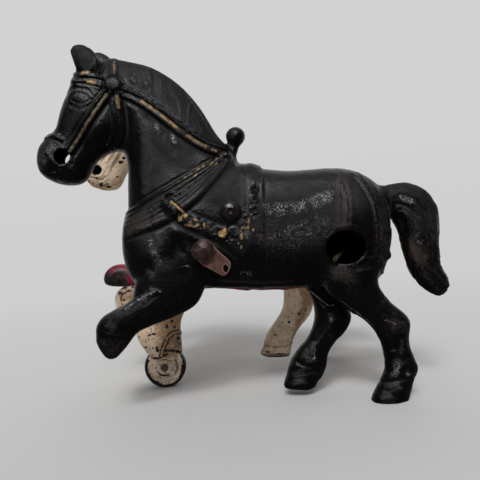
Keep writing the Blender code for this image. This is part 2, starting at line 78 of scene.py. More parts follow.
# ---------------------------------------------------------------- outlines of one horse
# Each row: upper or front edge x, y, then lower or rear edge x, y, in drawing units,
# then the half width and the offset from the horse's split plane, in mm.
TORSO = [
    (125, 232, 126, 256, 5.0, 0), (129, 219, 130, 272, 8.4, 0), (139, 205, 138, 284, 10.6, 0),
    (155, 192, 152, 289, 11.8, 0), (178, 177, 174, 290, 12.4, 0), (205, 164, 205, 288, 12.7, 0),
    (235, 163, 238, 286, 12.7, 0), (265, 170, 265, 286, 12.7, 0), (300, 171, 298, 286, 12.7, 0),
    (328, 169, 324, 288, 12.8, 0), (350, 171, 350, 290, 12.6, 0), (368, 179, 370, 284, 11.4, 0),
    (379, 190, 381, 272, 9.0, 0), (385, 205, 386, 256, 6.0, 0), (387, 219, 388, 242, 3.0, 0),
]
NECK = [
    (237, 167, 160, 270, 9.5, 0), (229, 150, 128, 236, 9.6, 0), (216, 135, 129, 208, 8.6, 0),
    (199, 108, 129, 186, 7.8, 0), (178, 85, 129, 168, 7.2, 0), (152, 69, 125, 153, 6.8, 0),
    (130, 63, 112, 149, 6.6, 0), (110, 60, 100, 146, 6.2, 0), (98, 64, 92, 130, 5.0, 0),
]
HEAD = [
    (104, 62, 131, 112, 4.5, 0), (92, 62, 126, 132, 6.2, 0), (80, 70, 117, 148, 7.2, 0),
    (73, 84, 108, 154, 7.3, 0), (68, 96, 101, 158, 6.9, 0), (62, 113, 94, 165, 6.3, 0),
    (58.5, 129.5, 90, 174, 6.3, 0), (48.5, 138.5, 84, 182, 6.9, 0), (41, 148, 74, 185, 7.0, 0),
    (39.5, 160, 61, 184, 6.2, 0), (41.5, 170, 51, 180, 4.4, 0), (44, 174, 47, 177.5, 1.6, 0),
]
EAR = [
    (79, 77, 102, 74, 2.0, 5.0), (75.5, 64, 101, 63, 2.6, 5.0), (72, 55, 96, 55, 2.4, 5.0),
    (71, 48, 90, 49, 1.8, 5.0), (75, 45, 83, 44.5, 0.9, 5.0),
]
TAIL = [
    (370, 183, 376, 210, 3.4, 0), (382, 186, 387, 213, 4.0, 0), (393, 184, 391, 218, 4.4, 0),
    (408, 183, 396, 224, 4.8, 0), (424, 189, 399, 231, 5.0, 0), (435, 204, 401, 241, 5.0, 0),
    (438, 222, 403, 252, 5.0, 0), (438, 240, 406, 262, 4.8, 0), (438, 256, 411, 273, 4.4, 0),
    (443, 270, 418, 283, 4.0, 0), (448, 282, 427, 291, 3.2, 0), (448, 290, 437, 297, 1.6, 0),
]
STALK = [(228, 166, 238, 167, 1.9, 0), (229, 156, 237, 157, 1.9, 0), (231, 147, 238, 148, 1.7, 0),
         (233, 139, 239, 140, 1.6, 0)]
NEAR_FORE = [   # raised foreleg on the outer side
    (154, 243, 210, 243, 4.7, 0), (150, 258, 214, 256, 5.15, 0), (136, 283, 206, 284, 5.2, 0), (133, 299, 196, 304, 5.0, 0),
    (124, 305, 175, 316, 4.6, 0), (113, 311, 150, 326, 4.2, 0), (103, 317, 138, 332, 4.2, 0),
    (97, 327, 132, 339, 4.1, 0), (97, 340, 126, 347, 3.6, 0), (102, 351, 119, 355, 3.0, 0),
    (109, 359, 114, 359, 1.3, 0),
]
NEAR_HIND = [   # rearmost hind leg on the outer side, its sole on the floor
    (322, 255, 388, 236, 4.6, 0), (324, 286, 383, 262, 5.4, 0), (338, 300, 377, 280, 5.3, 0),
    (351, 311, 384, 296, 4.9, 0), (365, 320, 398, 309, 4.5, 0), (375, 331, 409, 320, 4.4, 0),
    (382, 344, 408, 337, 4.0, 0), (385, 356, 411, 352, 3.8, 0), (386, 367, 417, 366, 4.3, 0),
    (382, 377, 414, 376, 4.0, 0), (377, 387, 411, 387, 4.4, 0), (373, 396, 408, 396, 4.8, 0),
    (372, 404, 406, 404.5, 4.9, 0),
]
NEAR_HIND_IN = [   # hind leg on the inner side, carried just clear of the floor
    (306, 258, 356, 256, 4.8, 0), (307, 286, 352, 290, 5.0, 0), (313, 301, 348, 306, 4.8, 0),
    (315, 314, 351, 316, 4.7, 0), (313, 326, 346, 329, 4.3, 0), (307, 339, 335, 341, 3.8, 0),
    (297, 351, 328, 352, 3.7, 0), (290, 363, 326, 364, 4.2, 0), (288, 371, 322, 376, 4.0, 0),
    (285, 380, 317, 381, 4.4, 0), (283, 387, 315, 387.5, 4.7, 0),
]
NEAR_FORE_IN = [   # raised foreleg on the inner side, behind the outer one
    (158, 258, 205, 258, 4.4, 0), (146, 283, 197, 284, 5.0, 0), (140, 298, 186, 303, 4.8, 0),
    (131, 307, 168, 314, 4.4, 0), (119, 314, 148, 323, 4.0, 0), (109, 320, 136, 329, 4.0, 0),
    (103, 329, 130, 336, 3.8, 0), (103, 340, 123, 344, 3.3, 0), (107, 349, 117, 351, 2.6, 0),
    (110, 354, 113, 354, 1.2, 0),
]
OFF_HIND_IN = [
    (285, 262, 328, 262, 4.8, 0), (284, 288, 315, 291, 4.9, 0), (284, 302, 313, 304, 4.6, 0),
    (281, 312, 309, 315, 4.4, 0), (275, 322, 301, 325, 3.9, 0), (268, 332, 294, 335, 3.7, 0),
    (265, 340, 293, 341, 4.1, 0), (262, 348, 291, 348.5, 4.4, 0), (260, 355, 289, 355.5, 4.6, 0),
]
OFF_HIND = [
    (290, 252, 336, 238, 4.8, 0), (296, 272, 337, 262, 5.3, 0), (304, 287, 338, 282, 5.1, 0),
    (312, 300, 340, 298, 4.6, 0), (317, 314, 344, 314, 4.4, 0), (317, 326, 341, 328, 3.9, 0),
    (312, 338, 333, 340, 3.6, 0), (304, 348, 327, 349, 3.8, 0), (299, 355, 324, 356, 4.2, 0),
    (295, 361.5, 321, 362, 4.5, 0),
]
OFF_FORE = [
    (152, 255, 196, 255, 4.6, 0), (144, 272, 190, 281, 5.0, 0), (134, 281, 172, 298, 4.8, 0),
    (124, 286, 155, 305, 4.4, 0), (116, 294, 140, 309, 4.2, 0), (116, 304, 134, 315, 3.8, 0),
    (118, 315, 130, 321, 3.2, 0), (118, 327, 126, 329, 2.6, 0), (118, 334, 122, 335, 1.4, 0),
]
WHEEL_LEG = [   # foreleg of the off horse that leans in to the wheel; last number is its own Y
    (165, 258, 205, 256, 4.8, 20.5), (153, 285, 198, 288, 5.2, 17.5), (144, 303, 187, 306, 5.4, 13.0),
    (138, 320, 180.5, 322, 5.5, 9.0), (137, 334, 181, 335, 5.5, 7.0), (142, 345, 181.5, 346, 5.5, 6.5),
    (147, 351, 182, 352, 5.4, 6.5), (149, 357, 181, 358, 5.2, 6.5),
]


# ---------------------------------------------------------------- mesh helpers
FINE = 0.40


def smooth_rows(rows, sub):
    """Extra rows on a smooth curve through the given ones."""
    r = np.array(rows, float)
    pad = np.vstack([2 * r[0] - r[1], r, 2 * r[-1] - r[-2]])
    out = []
    for i in range(1, len(pad) - 2):
        p0, p1, p2, p3 = pad[i - 1], pad[i], pad[i + 1], pad[i + 2]
        for k in range(sub):
            t = k / sub
            out.append(0.5 * (2 * p1 + (p2 - p0) * t + (2 * p0 - 5 * p1 + 4 * p2 - p3) * t * t
                              + (3 * p1 - p0 - 3 * p2 + p3) * t ** 3))
    out.append(r[-1])
    return np.array(out)


def ring_mesh(bm, rings):
    """Closes a list of equal rings of points into one solid."""
    vs = [[bm.verts.new(p) for p in ring] for ring in rings]
    n = len(vs[0])
    for a, b in zip(vs[:-1], vs[1:]):
        for i in range(n):
            j = (i + 1) % n
            bm.faces.new((a[i], a[j], b[j], b[i]))
    bm.faces.new(list(reversed(vs[0])))
    bm.faces.new(vs[-1])


def loft(bm, rows, y0, side=1, warp=None, inset=0.0, seg=56, sub=6, own_y=False, power=2.25):
    """Closed mass between two outlines; side mirrors the offset column."""
    rows = smooth_rows(rows, sub)
    rings = []
    for xt, yt, xb, yb, w, off in rows:
        y = off if own_y else y0 + side * off
        d = EYE - HORSE_Y if warp else EYE + y
        top, bot = sheet(xt, yt, d), sheet(xb, yb, d)
        if warp:
            top, bot = warp(top), warp(bot)
        cx, cz = (top[0] + bot[0]) / 2, (top[1] + bot[1]) / 2
        hx, hz = (top[0] - bot[0]) / 2, (top[1] - bot[1]) / 2
        h = math.hypot(hx, hz)
        k = max(h - inset, 0.3) / h
        ww = max(w - inset, 0.3)
        ring = []
        for i in range(seg):
            a = 2 * math.pi * i / seg
            s = math.copysign(abs(math.sin(a)) ** (2 / power), math.sin(a)) * k
            c = math.copysign(abs(math.cos(a)) ** (2 / power), math.cos(a)) * ww
            ring.append(Vector((cx + hx * s, y + c, cz + hz * s)) * MM)
        rings.append(ring)
    ring_mesh(bm, rings)


def loft_ear(bm, rows, y0, warp):
    """Ears stand either side of the split plane; their outline is the near horse's."""
    rings = []
    for xt, yt, xb, yb, w, off in smooth_rows(rows, 6):
        d = EYE - HORSE_Y + (-5.0)
        top, bot = sheet(xt, yt, d), sheet(xb, yb, d)
        if warp:
            top, bot = warp(top), warp(bot)
        cx, cz = (top[0] + bot[0]) / 2, (top[1] + bot[1]) / 2
        hx, hz = (top[0] - bot[0]) / 2, (top[1] - bot[1]) / 2
        rings.append([Vector((cx + hx * math.sin(a), y0 + off + w * math.cos(a), cz + hz * math.sin(a))) * MM
                      for a in (2 * math.pi * i / 32 for i in range(32))])
    ring_mesh(bm, rings)


def ball(bm, centre, radius, stretch=(1, 1, 1)):
    made = bmesh.ops.create_icosphere(bm, subdivisions=4, radius=1.0)
    for v in made["verts"]:
        v.co = Vector([(centre[i] + v.co[i] * radius * stretch[i]) * MM for i in range(3)])


def fix_normals(bm):
    bmesh.ops.recalc_face_normals(bm, faces=bm.faces)


def bm_object(name, bm):
    me = bpy.data.meshes.new(name)
    bm.to_mesh(me)
    bm.free()
    ob = bpy.data.objects.new(name, me)
    bpy.context.scene.collection.objects.link(ob)
    return ob


def rounded(ob, angle=48):
    ob.data.shade_smooth()
    ob.data.set_sharp_from_angle(angle=math.radians(angle))
    return ob


def baked(ob):
    """Applies the object's modifiers to its mesh."""
    dg = bpy.context.evaluated_depsgraph_get()
    me = bpy.data.meshes.new_from_object(ob.evaluated_get(dg))
    ob.modifiers.clear()
    ob.data = me
    return ob


def cut(ob, other, op="DIFFERENCE", solver="MANIFOLD"):
    m = ob.modifiers.new("cut", "BOOLEAN")
    m.operation, m.solver, m.object = op, solver, other
    baked(ob)
    bpy.data.objects.remove(other)
    return ob


def slab(name, lo, hi):
    bm = bmesh.new()
    bmesh.ops.create_cube(bm, size=1.0)
    for v in bm.verts:
        v.co = Vector([((lo[i] + hi[i]) / 2 + v.co[i] * (hi[i] - lo[i])) * MM for i in range(3)])
    return bm_object(name, bm)


def rod_y(name, x, z, y0, y1, r, seg=64, rz=None):
    """Round or oval bar along Y."""
    rz = rz or r
    bm = bmesh.new()
    rings = [[Vector((x + r * math.cos(2 * math.pi * i / seg), y, z + rz * math.sin(2 * math.pi * i / seg))) * MM
              for i in range(seg)] for y in (y0, y1)]
    ring_mesh(bm, rings)
    fix_normals(bm)
    return bm_object(name, bm)


def cone_y(name, stations, seg=48):
    """Tapered, slightly slanting rod along y; stations: (y, x, z, radius)."""
    bm = bmesh.new()
    ring_mesh(bm, [[Vector((x + r * math.cos(2 * math.pi * i / seg), y, z + r * math.sin(2 * math.pi * i / seg))) * MM
                    for i in range(seg)] for y, x, z, r in stations])
    fix_normals(bm)
    return bm_object(name, bm)


def turned(name, profile, x, z, seg=64):
    """Solid of revolution about the Y axis through x, z. profile: (y, radius) from one end to the other."""
    bm = bmesh.new()
    rings = []
    for y, r in profile:
        rings.append([Vector((x + r * math.cos(2 * math.pi * i / seg), y, z + r * math.sin(2 * math.pi * i / seg))) * MM
                      for i in range(seg)])
    ring_mesh(bm, rings)
    fix_normals(bm)
    return bm_object(name, bm)


def dome(y_base, y_top, r, rim=0.5, n=10, pit=0.0):
    """Rivet head profile from its flat underside to its crown, with a small centre pit if asked."""
    s = 1 if y_top > y_base else -1
    h = abs(y_top - y_base) - rim
    rows = [(y_base, r - 0.25), (y_base + s * 0.12, r), (y_base + s * rim, r)]
    for i in range(1, n + 1):
        a = math.pi / 2 * i / n
        rr = r * math.cos(a)
        if pit and rr < pit * 1.3:
            break
        rows.append((y_base + s * (rim + h * math.sin(a)), max(rr, 0.12)))
    if pit:
        top = y_base + s * (rim + h * 0.985)
        rows += [(top, pit * 1.15), (top - s * 0.12, pit * 0.85), (top - s * 0.5, pit * 0.6), (top - s * 0.62, 0.12)]
    return rows


def verts_of(ob):
    n = len(ob.data.vertices)
    co = np.zeros(n * 3)
    ob.data.vertices.foreach_get("co", co)
    no = np.zeros(n * 3)
    ob.data.vertices.foreach_get("normal", no)
    return co.reshape(-1, 3), no.reshape(-1, 3)


def move_to(ob, co):
    ob.data.vertices.foreach_set("co", co.ravel())
    ob.data.update()


# ---------------------------------------------------------------- smooth noise in space
def lattice(ix, iy, iz, seed):
    n = (ix * 374761393 + iy * 668265263 + iz * 2147483647 + seed * 974634777) & 0xFFFFFFFF
    n = ((n ^ (n >> 13)) * 1274126177) & 0xFFFFFFFF
    n = n ^ (n >> 16)
    return (n & 0xFFFF) / 32767.5 - 1.0


def noise(p, size, seed=1):
    """Smooth noise from -1 to 1 over points p (mm), features about size mm wide."""
    g = p / size
    f = np.floor(g)
    t = g - f
    t = t * t * (3 - 2 * t)
    i = f.astype(np.int64)
    out = np.zeros(len(p))
    for a in (0, 1):
        for b in (0, 1):
            for c in (0, 1):
                w = (t[:, 0] if a else 1 - t[:, 0]) * (t[:, 1] if b else 1 - t[:, 1]) * (t[:, 2] if c else 1 - t[:, 2])
                out += w * lattice(i[:, 0] + a, i[:, 1] + b, i[:, 2] + c, seed)
    return out


# ---------------------------------------------------------------- relief drawn on the side drawing
def curve(pts, sub=4):
    return smooth_rows(pts, sub)


def shifted(pts, d):
    """The line moved sideways by d drawing units, to the right of its direction when d > 0 (y runs down)."""
    p = np.array(pts, float)
    t = np.gradient(p, axis=0)
    t /= np.maximum(np.hypot(t[:, 0], t[:, 1]), 1e-6)[:, None]
    return p + np.stack([-t[:, 1], t[:, 0]], 1) * d


def away(x, y, pts, close=False):
    """Distance to a line of points, and how far along it, from 0 to 1."""
    p = np.array(pts, float)
    if close:
        p = np.vstack([p, p[:1]])
    best = np.full(len(x), 1e9)
    where = np.zeros(len(x))
    lens = np.hypot(*(p[1:] - p[:-1]).T)
    total, run = max(lens.sum(), 1e-9), 0.0
    for a, b, ln in zip(p[:-1], p[1:], lens):
        if ln < 1e-9:
            continue
        d = (b - a) / ln
        s = np.clip((x - a[0]) * d[0] + (y - a[1]) * d[1], 0, ln)
        dd = np.hypot(x - a[0] - s * d[0], y - a[1] - s * d[1])
        m = dd < best
        best[m], where[m] = dd[m], (run + s[m]) / total
        run += ln
    return best, where


def ease(t):
    t = np.clip(t, 0, 1)
    return t * t * (3 - 2 * t)


class Relief:
    """Heights in mm and paint masks at points given in drawing units. One mask is painted shade for hollows and the
    undersides of straps, one is pitting with painted glints, one is rubs with some painted sheen.
    """

    def __init__(self, x, y, on=None):
        self.x, self.y = x, y
        self.on = np.ones(len(x), bool) if on is None else on
        # masks: gold, rubs with some painted sheen, painted shade, pitting with painted glints
        self.h, self.gold, self.rub, self.dark, self.painted_light_and_pits = (np.zeros(len(x)) for _ in range(5))

    def near(self, pts, margin):
        p = np.array(pts, float)
        lo, hi = p.min(0) - margin, p.max(0) + margin
        return np.nonzero(self.on & (self.x > lo[0]) & (self.x < hi[0]) & (self.y > lo[1]) & (self.y < hi[1]))[0]

    def add(self, i, k, h, gold, rub, dark):
        self.h[i] += h * k
        if gold:
            self.gold[i] = np.maximum(self.gold[i], gold * k)
        if rub:
            self.rub[i] = np.maximum(self.rub[i], rub * k)
        if dark:
            self.dark[i] = np.maximum(self.dark[i], dark * k)

    def line(self, pts, w, h=0.0, flat=0.0, gold=0.0, rub=0.0, dark=0.0, close=False, ends=0.0):
        i = self.near(pts, w + 0.5)
        if len(i):
            d, t = away(self.x[i], self.y[i], pts, close)
            k = ease((w - d) / max(w - flat, 0.2))
            if ends:
                k = k * ease(np.minimum(t, 1 - t) / ends)
            self.add(i, k, h, gold, rub, dark)

    def blob(self, cx, cy, rx, ry, h=0.0, turn=0.0, flat=0.0, gold=0.0, rub=0.0, dark=0.0):
        r = max(rx, ry)
        i = self.near([(cx, cy)], r + 0.5)
        if len(i):
            c, s = math.cos(math.radians(turn)), math.sin(math.radians(turn))
            dx, dy = self.x[i] - cx, self.y[i] - cy
            d = np.hypot((dx * c + dy * s) / rx, (-dx * s + dy * c) / ry)
            self.add(i, ease((1 - d) / max(1 - flat, 0.05)), h, gold, rub, dark)

    def ring(self, cx, cy, rx, ry, w, h=0.0, turn=0.0, flat=0.0, gold=0.0, rub=0.0, dark=0.0, a=0, b=360):
        c, s = math.cos(math.radians(turn)), math.sin(math.radians(turn))
        pts = []
        n = 24
        for k in range(n + (b - a < 360)):
            t = math.radians(a + (b - a) * k / n)
            ex, ey = rx * math.cos(t), ry * math.sin(t)
            pts.append((cx + ex * c - ey * s, cy + ex * s + ey * c))
        self.line(pts, w, h, flat, gold, rub, dark, close=b - a >= 360)

    def plate(self, pts, h=0.0, soft=1.5, gold=0.0, rub=0.0, dark=0.0):
        """Raised area inside a closed outline, with a soft edge."""
        i = self.near(pts, soft)
        if len(i):
            p = np.array(pts, float)
            x, y = self.x[i], self.y[i]
            inside = np.zeros(len(i), bool)
            for (x0, y0), (x1, y1) in zip(p, np.roll(p, -1, 0)):
                hit = (y0 > y) != (y1 > y)
                with np.errstate(divide="ignore", invalid="ignore"):
                    inside ^= hit & (x < (x1 - x0) * (y - y0) / (y1 - y0 if y1 != y0 else 1e-9) + x0)
            d, _ = away(x, y, p, True)
            self.add(i, ease(0.5 + np.where(inside, d, -d) / (2 * soft)), h, gold, rub, dark)

    def bossed(self, cx, cy, rx, ry, h):
        """Low round-topped boss that hides what runs under it."""
        i = self.near([(cx, cy)], max(rx, ry) + 0.5)
        d = np.hypot((self.x[i] - cx) / rx, (self.y[i] - cy) / ry)
        k = ease((1 - d) / 0.22)
        self.h[i] = self.h[i] * (1 - k) + h * k * (1 - 0.28 * np.minimum(d, 1) ** 2)
        for m in (self.gold, self.dark, self.rub):
            m[i] *= 1 - k

    def shine(self, cx, cy, rx, ry, amount, turn):
        """Place where the enamel is pitted and painted glints are laid on."""
        i = self.near([(cx, cy)], max(rx, ry) + 0.5)
        c, s = math.cos(math.radians(turn)), math.sin(math.radians(turn))
        dx, dy = self.x[i] - cx, self.y[i] - cy
        d = np.hypot((dx * c + dy * s) / rx, (-dx * s + dy * c) / ry)
        self.painted_light_and_pits[i] = np.maximum(self.painted_light_and_pits[i], amount * ease((1 - d) / 0.7))

    def gleam(self, pts, w=0.9, amount=1.0):
        """Narrow painted highlight along an edge."""
        i = self.near(pts, w + 1.5)
        if len(i):
            d, t = away(self.x[i], self.y[i], pts)
            k = ease((w + 0.5 - d) / 0.9) * ease(np.minimum(t, 1 - t) / 0.06)
            self.painted_light_and_pits[i] = np.maximum(self.painted_light_and_pits[i], amount * k)

    def glitter(self, pts, w, amount):
        """Band of pitted enamel with painted glints, fading out on both sides."""
        i = self.near(pts, w)
        if len(i):
            d, _ = away(self.x[i], self.y[i], pts)
            self.painted_light_and_pits[i] = np.maximum(self.painted_light_and_pits[i], amount * ease((w - d) / w))

    def strap(self, pts, ridges, w, base=0.0, base_w=0.0, gap=1.0, **kw):
        """Parallel ridges on a low band. ridges: list of (offset, height)."""
        if base:
            self.line(pts, base_w + gap, base, flat=base_w)
        for off, hh in ridges:
            self.line(shifted(pts, off), w, hh, flat=0.25 * w, **kw)


REIN = curve([(119, 91), (132, 96), (146, 104), (160, 114), (180, 130), (200, 143.5), (214, 150), (227, 154)])
COLLAR_TOP = curve([(226, 154.5), (212, 161.8), (192, 173.5), (170, 186.5), (148, 199.5), (124, 215)])
COLLAR_LOW = curve([(232, 159), (222, 173), (208, 190), (189, 208), (160, 226.5), (124, 239)])


def between(a, b, t):
    return a * (1 - t) + b * t


def harness(r, p):
    """Cast face, mane, harness and muscles of one side of a horse, with painted shade, glints and highlights. p: the
    same points in mm, for the noise.
    """
    x, y = r.x, r.y
    wob = noise(p, 5.0, 3)
    fuzz = noise(p, 2.2, 9)

    # --- large forms
    r.blob(97, 128, 17, 24, 0.75, turn=30)                 # jaw muscle
    r.blob(104, 140, 10, 13, -0.55, turn=20)               # hollow behind the jaw
    r.line(curve([(75, 88), (66, 112), (56, 134)]), 7, 0.35)   # nose bone
    r.blob(52, 160, 13, 14, 0.5)                           # muzzle
    r.line(curve([(44, 139.5), (50, 136.5), (57, 137), (64, 141)]), 3.0, 0.55, ends=0.04)   # edge of the noseband
    # painted shade under the edge of the noseband
    r.line(curve([(50, 143), (57, 141.5), (63, 145)]), 1.8, -0.2, dark=0.6, ends=0.1)
    r.blob(76, 83, 7, 7, 0.45)                             # forehead
    r.blob(166, 133, 25, 12, -0.25, turn=42)               # neck hollow
    r.line(curve([(137, 110), (144, 150), (141, 195)]), 10, 0.35)   # neck tendon
    r.line(curve([(128, 110), (131, 150)]), 4, -0.3)
    r.blob(152, 249, 26, 24, 1.0)                          # point of the shoulder
    r.blob(186, 243, 18, 17, -0.5)
    r.line(curve([(176, 232), (196, 262), (190, 285)]), 8, 0.4)
    r.blob(216, 193, 18, 16, 0.35)                         # shoulder blade
    r.blob(352, 212, 26, 30, 0.5)                          # haunch
    r.blob(322, 284, 14, 9, -0.35, turn=40)                # flank fold
    r.line(curve([(327, 264), (321, 270), (313, 279), (306, 285)]), 4.5, 0.45, ends=0.08)
    r.line(curve([(203, 284), (235, 285), (270, 285), (304, 283.5)]), 2.6, 0.5, flat=0.6)   # lip under the belly
    r.line(curve([(205, 279.5), (235, 280.5), (270, 280.5), (302, 279)]), 1.8, -0.15)
    # painted reflection: a lighter band along the lower edge of the belly, laid on with the rub mask
    r.line(curve([(212, 280), (235, 282), (270, 282.5), (300, 280.5)]), 2.2, 0.0, flat=0.8, rub=0.50, ends=0.1)
    r.blob(288, 171, 20, 9, -0.18)                         # back behind the saddle

    # --- face
    # painted shade in the hollow of the ear, and further down in the eye creases, nostril and mouth
    r.plate([(76, 52), (81, 49), (87, 51), (92, 57), (91, 65), (85, 70), (80, 63)], -0.25, 4.0, dark=1.0)
    r.line(curve([(71.5, 50), (75, 60), (78, 73)]), 2.0, 0.35)
    r.line(curve([(89, 49), (95, 56), (96, 66)]), 1.8, 0.2)
    r.ring(79, 98, 12.5, 9.5, 4.2, -0.14, turn=15)
    r.blob(79, 98.5, 8.2, 5.4, 0.24, turn=12, flat=0.15, dark=0.5)    # eyeball
    r.line(curve([(69, 99), (73, 93), (80, 90.5), (87, 92.5), (92, 98)]), 1.7, 0.17)
    r.line(curve([(67, 93), (73, 87), (81, 85.5), (89, 88), (95, 94)]), 1.6, 0.10)
    r.line(curve([(70, 101), (76, 106), (84, 106.5), (91, 101)]), 1.6, 0.11)
    r.line(curve([(71, 98.5), (76, 94.5), (82, 93.5), (88, 96.5), (91, 100)]), 0.9, -0.16, dark=0.6)
    r.line(curve([(72, 100.5), (78, 103.5), (85, 103), (90, 100)]), 0.9, -0.13, dark=0.5)
    r.line(curve([(71, 112), (67, 124), (60, 136)]), 2.2, -0.22)
    r.ring(46, 158.5, 4.0, 6.0, 1.7, 0.25, turn=10)         # nostril
    r.blob(46, 158.5, 2.6, 4.6, -0.7, turn=10, flat=0.2, dark=1.0)
    r.ring(61, 157, 9.6, 9.6, 2.4, 0.25)                     # bit ring
    r.line(curve([(42, 170), (49, 172), (56, 171), (61, 168)]), 1.4, -0.3, dark=0.8)   # mouth
    r.line(curve([(57, 168), (60, 172), (61, 180)]), 1.5, 0.26)
    r.line(curve([(53, 168), (56, 174), (57, 181)]), 1.4, -0.26, dark=0.5)
    r.line(curve([(66, 167), (72, 170), (74, 176), (70, 182)]), 1.7, 0.22)
    r.blob(60, 178, 8, 4.5, 0.35)
    # painted glints on the muzzle
    r.shine(52, 149, 11, 6, 0.7, -30)
    r.shine(71, 163, 6, 10, 0.5, 0)
    r.shine(44, 160, 6, 12, 0.5, 0)

    # --- bridle
    r.line([(113.5, 62), (114, 78)], 4.6, 0.26, flat=3.2)
    r.line([(114, 61.5), (114.3, 73)], 2.6, 0.10, flat=0.8, gold=0.76)
    r.line([(110.6, 62), (111, 78)], 1.1, 0.18)
    r.line([(117.4, 62), (117.2, 78)], 1.1, 0.18)
    brow = curve([(75, 78.5), (84, 78.0), (94, 79.5), (105, 84)])
    r.strap(brow, [(-3.6, 0.36), (3.8, 0.30)], 1.7, 0.3, 5.0)
    r.line(curve([(78, 74.5), (88, 75.5), (98, 77), (106, 80)]), 1.4, 0.2)
    r.blob(85.5, 72.4, 6.6, 2.7, 0.08, turn=-6, flat=0.45, gold=1.0)
    r.blob(81, 74.5, 3.2, 1.4, 0.0, turn=-20, flat=0.4, gold=0.85)
    r.blob(91.5, 82.2, 8.4, 3.1, 0.08, turn=10, flat=0.45, gold=1.0)
    r.blob(86, 80.0, 3.4, 1.7, 0.0, turn=20, flat=0.4, gold=0.9)
    low = curve([(78, 86), (90, 87.5), (100, 89), (107, 90)])
    r.line(low, 1.5, 0.18)
    cheek = curve([(108.5, 91.5), (99, 104), (88, 121), (78, 138), (69, 151)])
    r.strap(cheek, [(-2.9, 0.45), (2.9, 0.45)], 1.7, 0.38, 4.3)
    r.line(cheek, 3.2, -0.08, flat=0.8, gold=0.72, ends=0.05)
    # painted shadow below the cheek strap and a fainter one above it
    r.line(shifted(cheek, -7.2), 2.6, -0.4, dark=0.9)
    r.line(shifted(cheek, 6.4), 1.8, -0.22, dark=0.3)
    throat = curve([(115, 92), (116.5, 104), (118.5, 118), (119, 132), (114, 146)])
    r.strap(throat, [(-4.2, 0.42), (0.0, 0.25), (4.2, 0.42)], 1.7, 0.32, 5.4)
    r.line(curve([(116.5, 93), (117.5, 101), (118.5, 110)]), 3.8, 0.0, flat=1.0, gold=0.80, ends=0.1)
    # painted shadow either side of the throat strap, then painted glints on it
    r.line(shifted(throat, 7.6), 2.6, -0.4, dark=0.7)
    r.line(shifted(throat, -8.2), 3.0, -0.4, dark=1.0, ends=0.08)
    r.shine(112, 108, 4, 16, 0.35, 0)

    # --- check rein and mane
    r.strap(REIN, [(-3.2, 0.50), (3.4, 0.42)], 1.6, 0.36, 4.6)
    r.line(REIN[6:17], 2.7, -0.05, flat=1.0, gold=0.93, ends=0.05)
    r.line(REIN[17:23], 2.9, -0.08, flat=1.0, gold=0.78, ends=0.06)
    r.line(REIN[23:26], 2.4, -0.05, flat=0.8, gold=0.85, ends=0.12)
    r.line(REIN[:7], 1.4, -0.1, gold=0.45)
    # shifted() at +d is below the rein, which runs to the right and down; the dark lines below and above it are painted
    # shadow
    r.line(shifted(REIN, 7.0), 2.4, -0.45, dark=1.0, ends=0.05)
    r.line(shifted(REIN, -6.0), 1.6, -0.2, dark=0.3, ends=0.05)
    crest = curve([(102, 58), (130, 60), (153, 66), (180, 83), (201, 106), (218, 133), (231, 148)])
    r.line(shifted(crest, 3.6)[6:], 1.3, 0.16, ends=0.1)
    i = np.nonzero((x > 98) & (x < 234) & (y > 54) & (y < 156))[0]
    if len(i):
        dr, tr = away(x[i], y[i], REIN)
        above = y[i] < np.interp(x[i], REIN[:, 0], REIN[:, 1]) - 5.0
        k = ease((dr - 6.5) / 4.0) * above * ease((x[i] - 122) / 10)
        s = x[i] - 0.10 * (y[i] - 90) + 2.5 * np.sin((y[i] - 60) / 15 + x[i] / 23) + 4.5 * wob[i]
        g = np.sin(s * 2 * math.pi / 11.5) + 0.5 * np.sin(s * 2 * math.pi / 6.7 + 2.0)
        # painted shade in the grooves between the strands and over the whole mane
        r.dark[i] = np.maximum(r.dark[i], k * (0.70 + 0.30 * ease((-g - 0.1) / 0.8)))
        k = k * ease((away(x[i], y[i], crest)[0] - 2.5) / 4.0)
        r.h[i] += k * 0.080 * g * (0.8 + 0.5 * fuzz[i])
        r.h[i] += k * 0.035 * np.sin(s * 2 * math.pi / 3.6 + 2.5 * fuzz[i])
    # painted shade over the poll and the ear, which are also made rougher
    r.blob(120, 68, 28, 15, 0.0, flat=0.5, dark=0.95)
    r.blob(84, 55, 15, 15, 0.0, flat=0.6, dark=1.0)
    # painted glints, and a painted highlight line along the crest
    r.shine(132, 79, 7, 5, 0.7, 30)
    r.shine(146, 84, 5, 7, 0.7, 0)
    r.shine(165, 92, 8, 14, 0.35, 0)
    r.gleam(curve([(186, 95), (190.5, 100.5), (197.5, 110.5), (205, 123), (210, 133)]), 0.35, 0.905)
    forelock = [(104, 62), (98, 72), (100, 80)]
    for off in (-3, 0, 3):
        r.line(shifted(curve(forelock), off), 1.3, 0.18)
    # painted shade over the neck and the shoulder, which are also made rougher
    r.blob(172, 146, 42, 26, 0.0, turn=45, flat=0.5, dark=1.0)
    r.blob(222, 188, 30, 30, 0.0, flat=0.5, dark=1.0)
